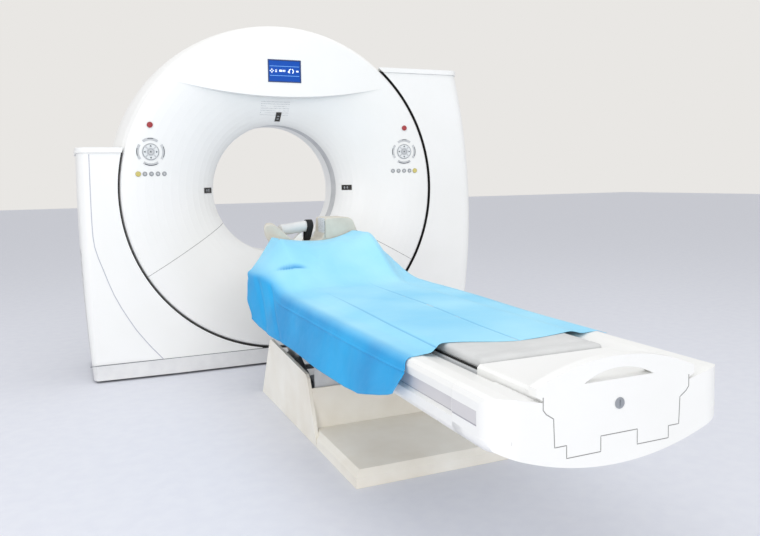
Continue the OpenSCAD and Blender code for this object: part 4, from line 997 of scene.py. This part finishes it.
def cover_seams():
    """Painted shadow in the joints of the ring's covers, the couch's foot moulding and the stand's plinth,
    and painted shade along the crease on the stand's front.
    """
    strip("ring_seam_left", face_path(180 + SEAM_ANGLE), 0.0026, "shadow_gap", "gantry_ring")
    strip("ring_seam_right", face_path(-SEAM_ANGLE), 0.0026, "shadow_gap", "gantry_ring")
    corners = MOULDING_HALF + [(-x, z) for x, z in reversed(MOULDING_HALF)]
    outline = []
    for (xa, za), (xb, zb) in zip(corners, corners[1:]):
        outline += list(zip(even(xa, xb, 8), even(za, zb, 8)))[:-1]
    outline.append(corners[-1])
    seam = [(Vector((x, MOULDING_FACE, z)), FRONTWARD) for x, z in outline]
    strip("moulding_seam", seam, 0.0022, "shadow_gap", "couch_carriage")
    # Painted shade: a grey line along the crease where the stand's front turns back.
    crease = [(Vector((x, -FACE_DEPTH, z)), FRONTWARD) for x, z in STAND_CREASE]
    strip("stand_crease", crease, 0.0048, "crease_shade", "stand")
    # Painted shadow in the plinth's joints, drawn in the dark ink of the pad's arrows.
    for word, start, end in PLINTH_RUNS:
        joint = [(Vector((x, -FACE_DEPTH, PLINTH_TOP)), FRONTWARD) for x in even(start, end, 20)]
        strip(f"plinth_joint_{word}", joint, 0.0030, "dark_legend_and_shade", "stand")


def couch_rails():
    """Painted shade in each side rail's recess, a grey band over a darker painted shadow line, and the lip of
    the side cover carried on round the foot corner.
    """
    for side, word in SIDES:
        out = Vector((side, 0, 0))
        for part, x, ends, higher in RAILS:
            # Painted shade in the recess of the rail.
            for shade, z, width in RAIL_STRIPS:
                run = [(Vector((side * x, y, z + higher)), out) for y in even(*ends, 8)]
                strip(f"{word}_{part}_rail_{shade}", run, width, f"rail_{shade}", "couch_carriage")
        turns = [(start, 0.0) for start in LIP_STARTS]
        turns += [(LIP_STARTS[-1], math.radians(step * LIP_STEP)) for step in range(1, 18)]
        rows = []
        for start, turn in turns:
            row = []
            for inset, z in LIP_SECTION:
                reach = LIP_REACH - inset
                x = side * (LIP_CENTRE + reach * math.cos(turn))
                row.append(Vector((x, start - reach * math.sin(turn), z)))
            rows.append(row)
        lip = through_loops(f"{word}_skirt_lip", rows, "cover_plastic", "couch_carriage")
        faced = bmesh.new()
        faced.from_mesh(lip.data)
        bmesh.ops.recalc_face_normals(faced, faces=faced.faces)
        faced.to_mesh(lip.data)
        faced.free()


def running_gap(name, front):
    """A black lining of painted shade in the stand's hollow along the running gap."""
    inner, outer = GAP_SHELLS
    depths = even(*GAP_DEPTHS, 8)
    section = [(depth, math.sqrt(inner**2 - depth**2)) for depth in depths]
    section += [(depth, math.sqrt(outer**2 - depth**2)) for depth in reversed(depths)]
    rows = []
    for degrees in even(*GAP_ENDS, 81):
        across, up = spot(1.0, degrees)
        rows.append([Vector((r * across, -depth * front, ISO_HEIGHT + r * up)) for depth, r in section])
    shade_lining = through_loops(name, rows, "black_gap_shade", "stand")
    shade_lining.data.validate()


def slot_shades():
    """Black strips of painted shade in the slots beside the tabletop, and a dark line of painted shade beside
    the mat.
    """
    for side, word in SIDES:
        for name, section, start, length, body in (
            ("slot_shade", SLOT_SHADE_SECTION, -2.8985, 2.120, "couch_carriage"),
            ("mat_edge", MAT_EDGE_SECTION, -2.792, 1.990, "couch_top"),
        ):
            outline = [(side * x, z) for x, z in section]
            line = plate(f"{word}_{name}", [outline], length, standing(start), "black_gap_shade", body)


# Controls and display.
PAD_X = 0.764
PAD_Z = 0.219
ARC_KEY_RADIUS = 0.069
# Painted shade along the outer edge of each arc key, longest at the bottom:
ARC_KEY_SHADES = ((0, 0.8), (90, 0.35), (180, 0.5), (270, 1.0))  # each arc key's angle, and its mark's length
KEY_Z = 0.099
KEY_PITCH = 0.035
STOP_Z = 0.365
LENS_STEP = 0.5236  # a twelfth of a turn
DIAL_X = -0.076
GRILLE_START = (-0.115, 0.444)
GRILLE_PITCH = (0.0081, 0.0122)
GRILLE_COUNT = (22, 7)
HOLE_RADIUS = 0.0019


def pad_prints(side, word):
    """Printed sectors, rims and arrows on a pad, and painted shade along the outer edge of the arc keys round
    it.
    """
    middle = on_dish(side * PAD_X, PAD_Z, 0.0032)
    sectors = [ring_slice(0.0235, 0.0425, at - 38, at + 38) for at in QUARTERS]
    rims = [ring_slice(0.0410, 0.0440, at - 37, at + 37) for at in QUARTERS]
    rims += [ring_slice(0.0150, 0.0172, at, at + 176) for at in (0, 180)]
    arrows = [turned_about(arrow(0.012), at - 90, spot(0.0325, at)) for at in QUARTERS]
    arrows.append(turned_about(arrow(0.012), 0, (0, 0.001)))
    for name, outlines, thick, material in (
        ("sectors", sectors, 0.0004, "legend_pale"),
        ("rims", rims, 0.0007, "grey_legend_and_hole_shade"),
        ("arrows", arrows, 0.0009, "dark_legend_and_shade"),
    ):
        printed = plate(f"{word}_pad_{name}", outlines, thick, middle, material, f"{word}_pad")
    # Painted shade along the outer edge of each arc key.
    for at, length in ARC_KEY_SHADES:
        x, z = spot(ARC_KEY_RADIUS, at)
        half_angle = 24 * length + 4
        outline = [(a - ARC_KEY_RADIUS, b) for a, b in ring_slice(0.0715, 0.0755, -half_angle, half_angle)]
        place = on_dish(side * PAD_X + x, PAD_Z + z, 0.0016) @ Matrix.Rotation(math.radians(at), 4, "Z")
        key_shade = plate(f"{word}_arc_key_shade_{at}", [outline], 0.0004, place, "dark_legend_and_shade", "gantry_ring")


def controls(side, word):
    """The pad's prints, the rings of the small keys, one of them yellow, and the stop button's dome."""
    pad_prints(side, word)
    for k in range(1, 6):
        lit = k == (1 if side < 0 else 5)
        size = 0.014 if lit else 0.010
        x = side * PAD_X + (k - 3) * KEY_PITCH
        tone, slot = ("lamp_key", "lamp_key") if lit else ("grey_legend_and_hole_shade", "trim_plastic")
        name, body = f"{word}_key_ring_{k}", f"{word}_key_{k}"
        top = on_dish(x, KEY_Z, 0.0030)
        ring_plate(name, size * 0.66, size * 0.9, 0.0007, top, tone, body)
        name, tone = f"{word}_key_collar_{k}", "legend_pale" if lit else "grey_legend_and_hole_shade"
        around = on_dish(x, KEY_Z, 0.0002)
        collar = ring_plate(name, size + 0.0007, size + 0.0028, 0.0008, around, tone, "gantry_ring")
    around = on_dish(side * PAD_X, STOP_Z, 0.0002)
    name = f"{word}_stop_collar"
    collar = ring_plate(name, 0.0158, 0.0205, 0.0016, around, "cover_plastic", "gantry_ring")
    top = on_dish(side * PAD_X, STOP_Z, 0.0070)
    name, body = f"{word}_stop_dome", f"{word}_stop_button"
    ring_plate(name, 0.0006, 0.0105, 0.0012, top, "stop_red", body)


def display():
    """Generic read-outs on the lit screen: bars, a dial, arrows and dashes, with no words."""
    upright = Matrix(((1, 0, 0), (0, 0, -1), (0, 1, 0))).to_4x4()
    face = Matrix.Translation((0, -FACE_DEPTH - 0.0002, ISO_HEIGHT + SCREEN_HEIGHT)) @ upright
    bars = [oblong(-0.088, y, 0.088, y + 0.0022) for y in (0.026, -0.028)]
    plate("display_bars", bars, 0.0003, face, "display_line", "gantry_ring")
    shapes = []
    for at in QUARTERS:
        x, y = spot(0.0085, at)
        shapes.append(turned_about(arrow(0.010), at - 90, (DIAL_X + x, y)))
    shapes += [oblong(-0.056, y, -0.046, y + 0.005) for y in (-0.007, 0.002)]
    dashes = ((-0.032, 0.018), (-0.010, 0.006), (-0.001, 0.005))
    shapes += [oblong(x, -0.004, x + w, 0.007) for x, w in dashes]
    shapes += [[(x + 0.040, y) for x, y in ring_slice(0.010, 0.0155, at, at + 130)] for at in (-60, 100)]
    shapes += [oblong(0.020, -0.009, 0.025, 0.001), oblong(0.070, -0.004, 0.084, 0.005)]
    plate("display_symbols", shapes, 0.0004, face, "display_white", "gantry_ring")


def laser_marks():
    """The two small lenses in each laser window."""
    turns = [a * LENS_STEP for a in range(12)]
    lenses = [[(x + 0.005 * math.cos(t), 0.008 * math.sin(t)) for t in turns] for x in (-0.014, 0.006)]
    for word, x, z, turn in (("left", -0.434, 0.0, 0), ("top", 0.0, 0.434, 90), ("right", 0.434, 0.0, 0)):
        place = on_dish(x, z, 0.0016) @ Matrix.Rotation(math.radians(turn), 4, "Z")
        pair = plate(f"laser_lens_{word}", lenses, 0.0006, place, "grey_legend_and_hole_shade", "gantry_ring")


def speaker_grille():
    """Rows of small holes over the bore, drawn as grey dots of painted shade."""
    dots = bmesh.new()
    for row, column in product(range(GRILLE_COUNT[1]), range(GRILLE_COUNT[0])):
        x = GRILLE_START[0] + column * GRILLE_PITCH[0]
        z = GRILLE_START[1] + row * GRILLE_PITCH[1]
        place = on_dish(x, z, 0.0001)
        ring = [place @ Vector((*spot(HOLE_RADIUS, a * 45), 0)) for a in range(8)]
        dots.faces.new([dots.verts.new(point) for point in ring])
    # Painted shade: the grey dots stand for the shade inside the holes.
    holes = from_bmesh("speaker_holes", dots, "grey_legend_and_hole_shade", "gantry_ring", smooth=False)


bpy.context.scene.view_settings.view_transform = "Standard"
place_camera()
studio()
table_mat()
head_holder()
head_trough()
arm_bolster()
strap_loop()
draped_sheet()
for side, word in SIDES:
    controls(side, word)
display()
laser_marks()
speaker_grille()
cover_seams()
couch_rails()
running_gap("front_gap_shade", 1)
running_gap("rear_gap_shade", -1)
slot_shades()
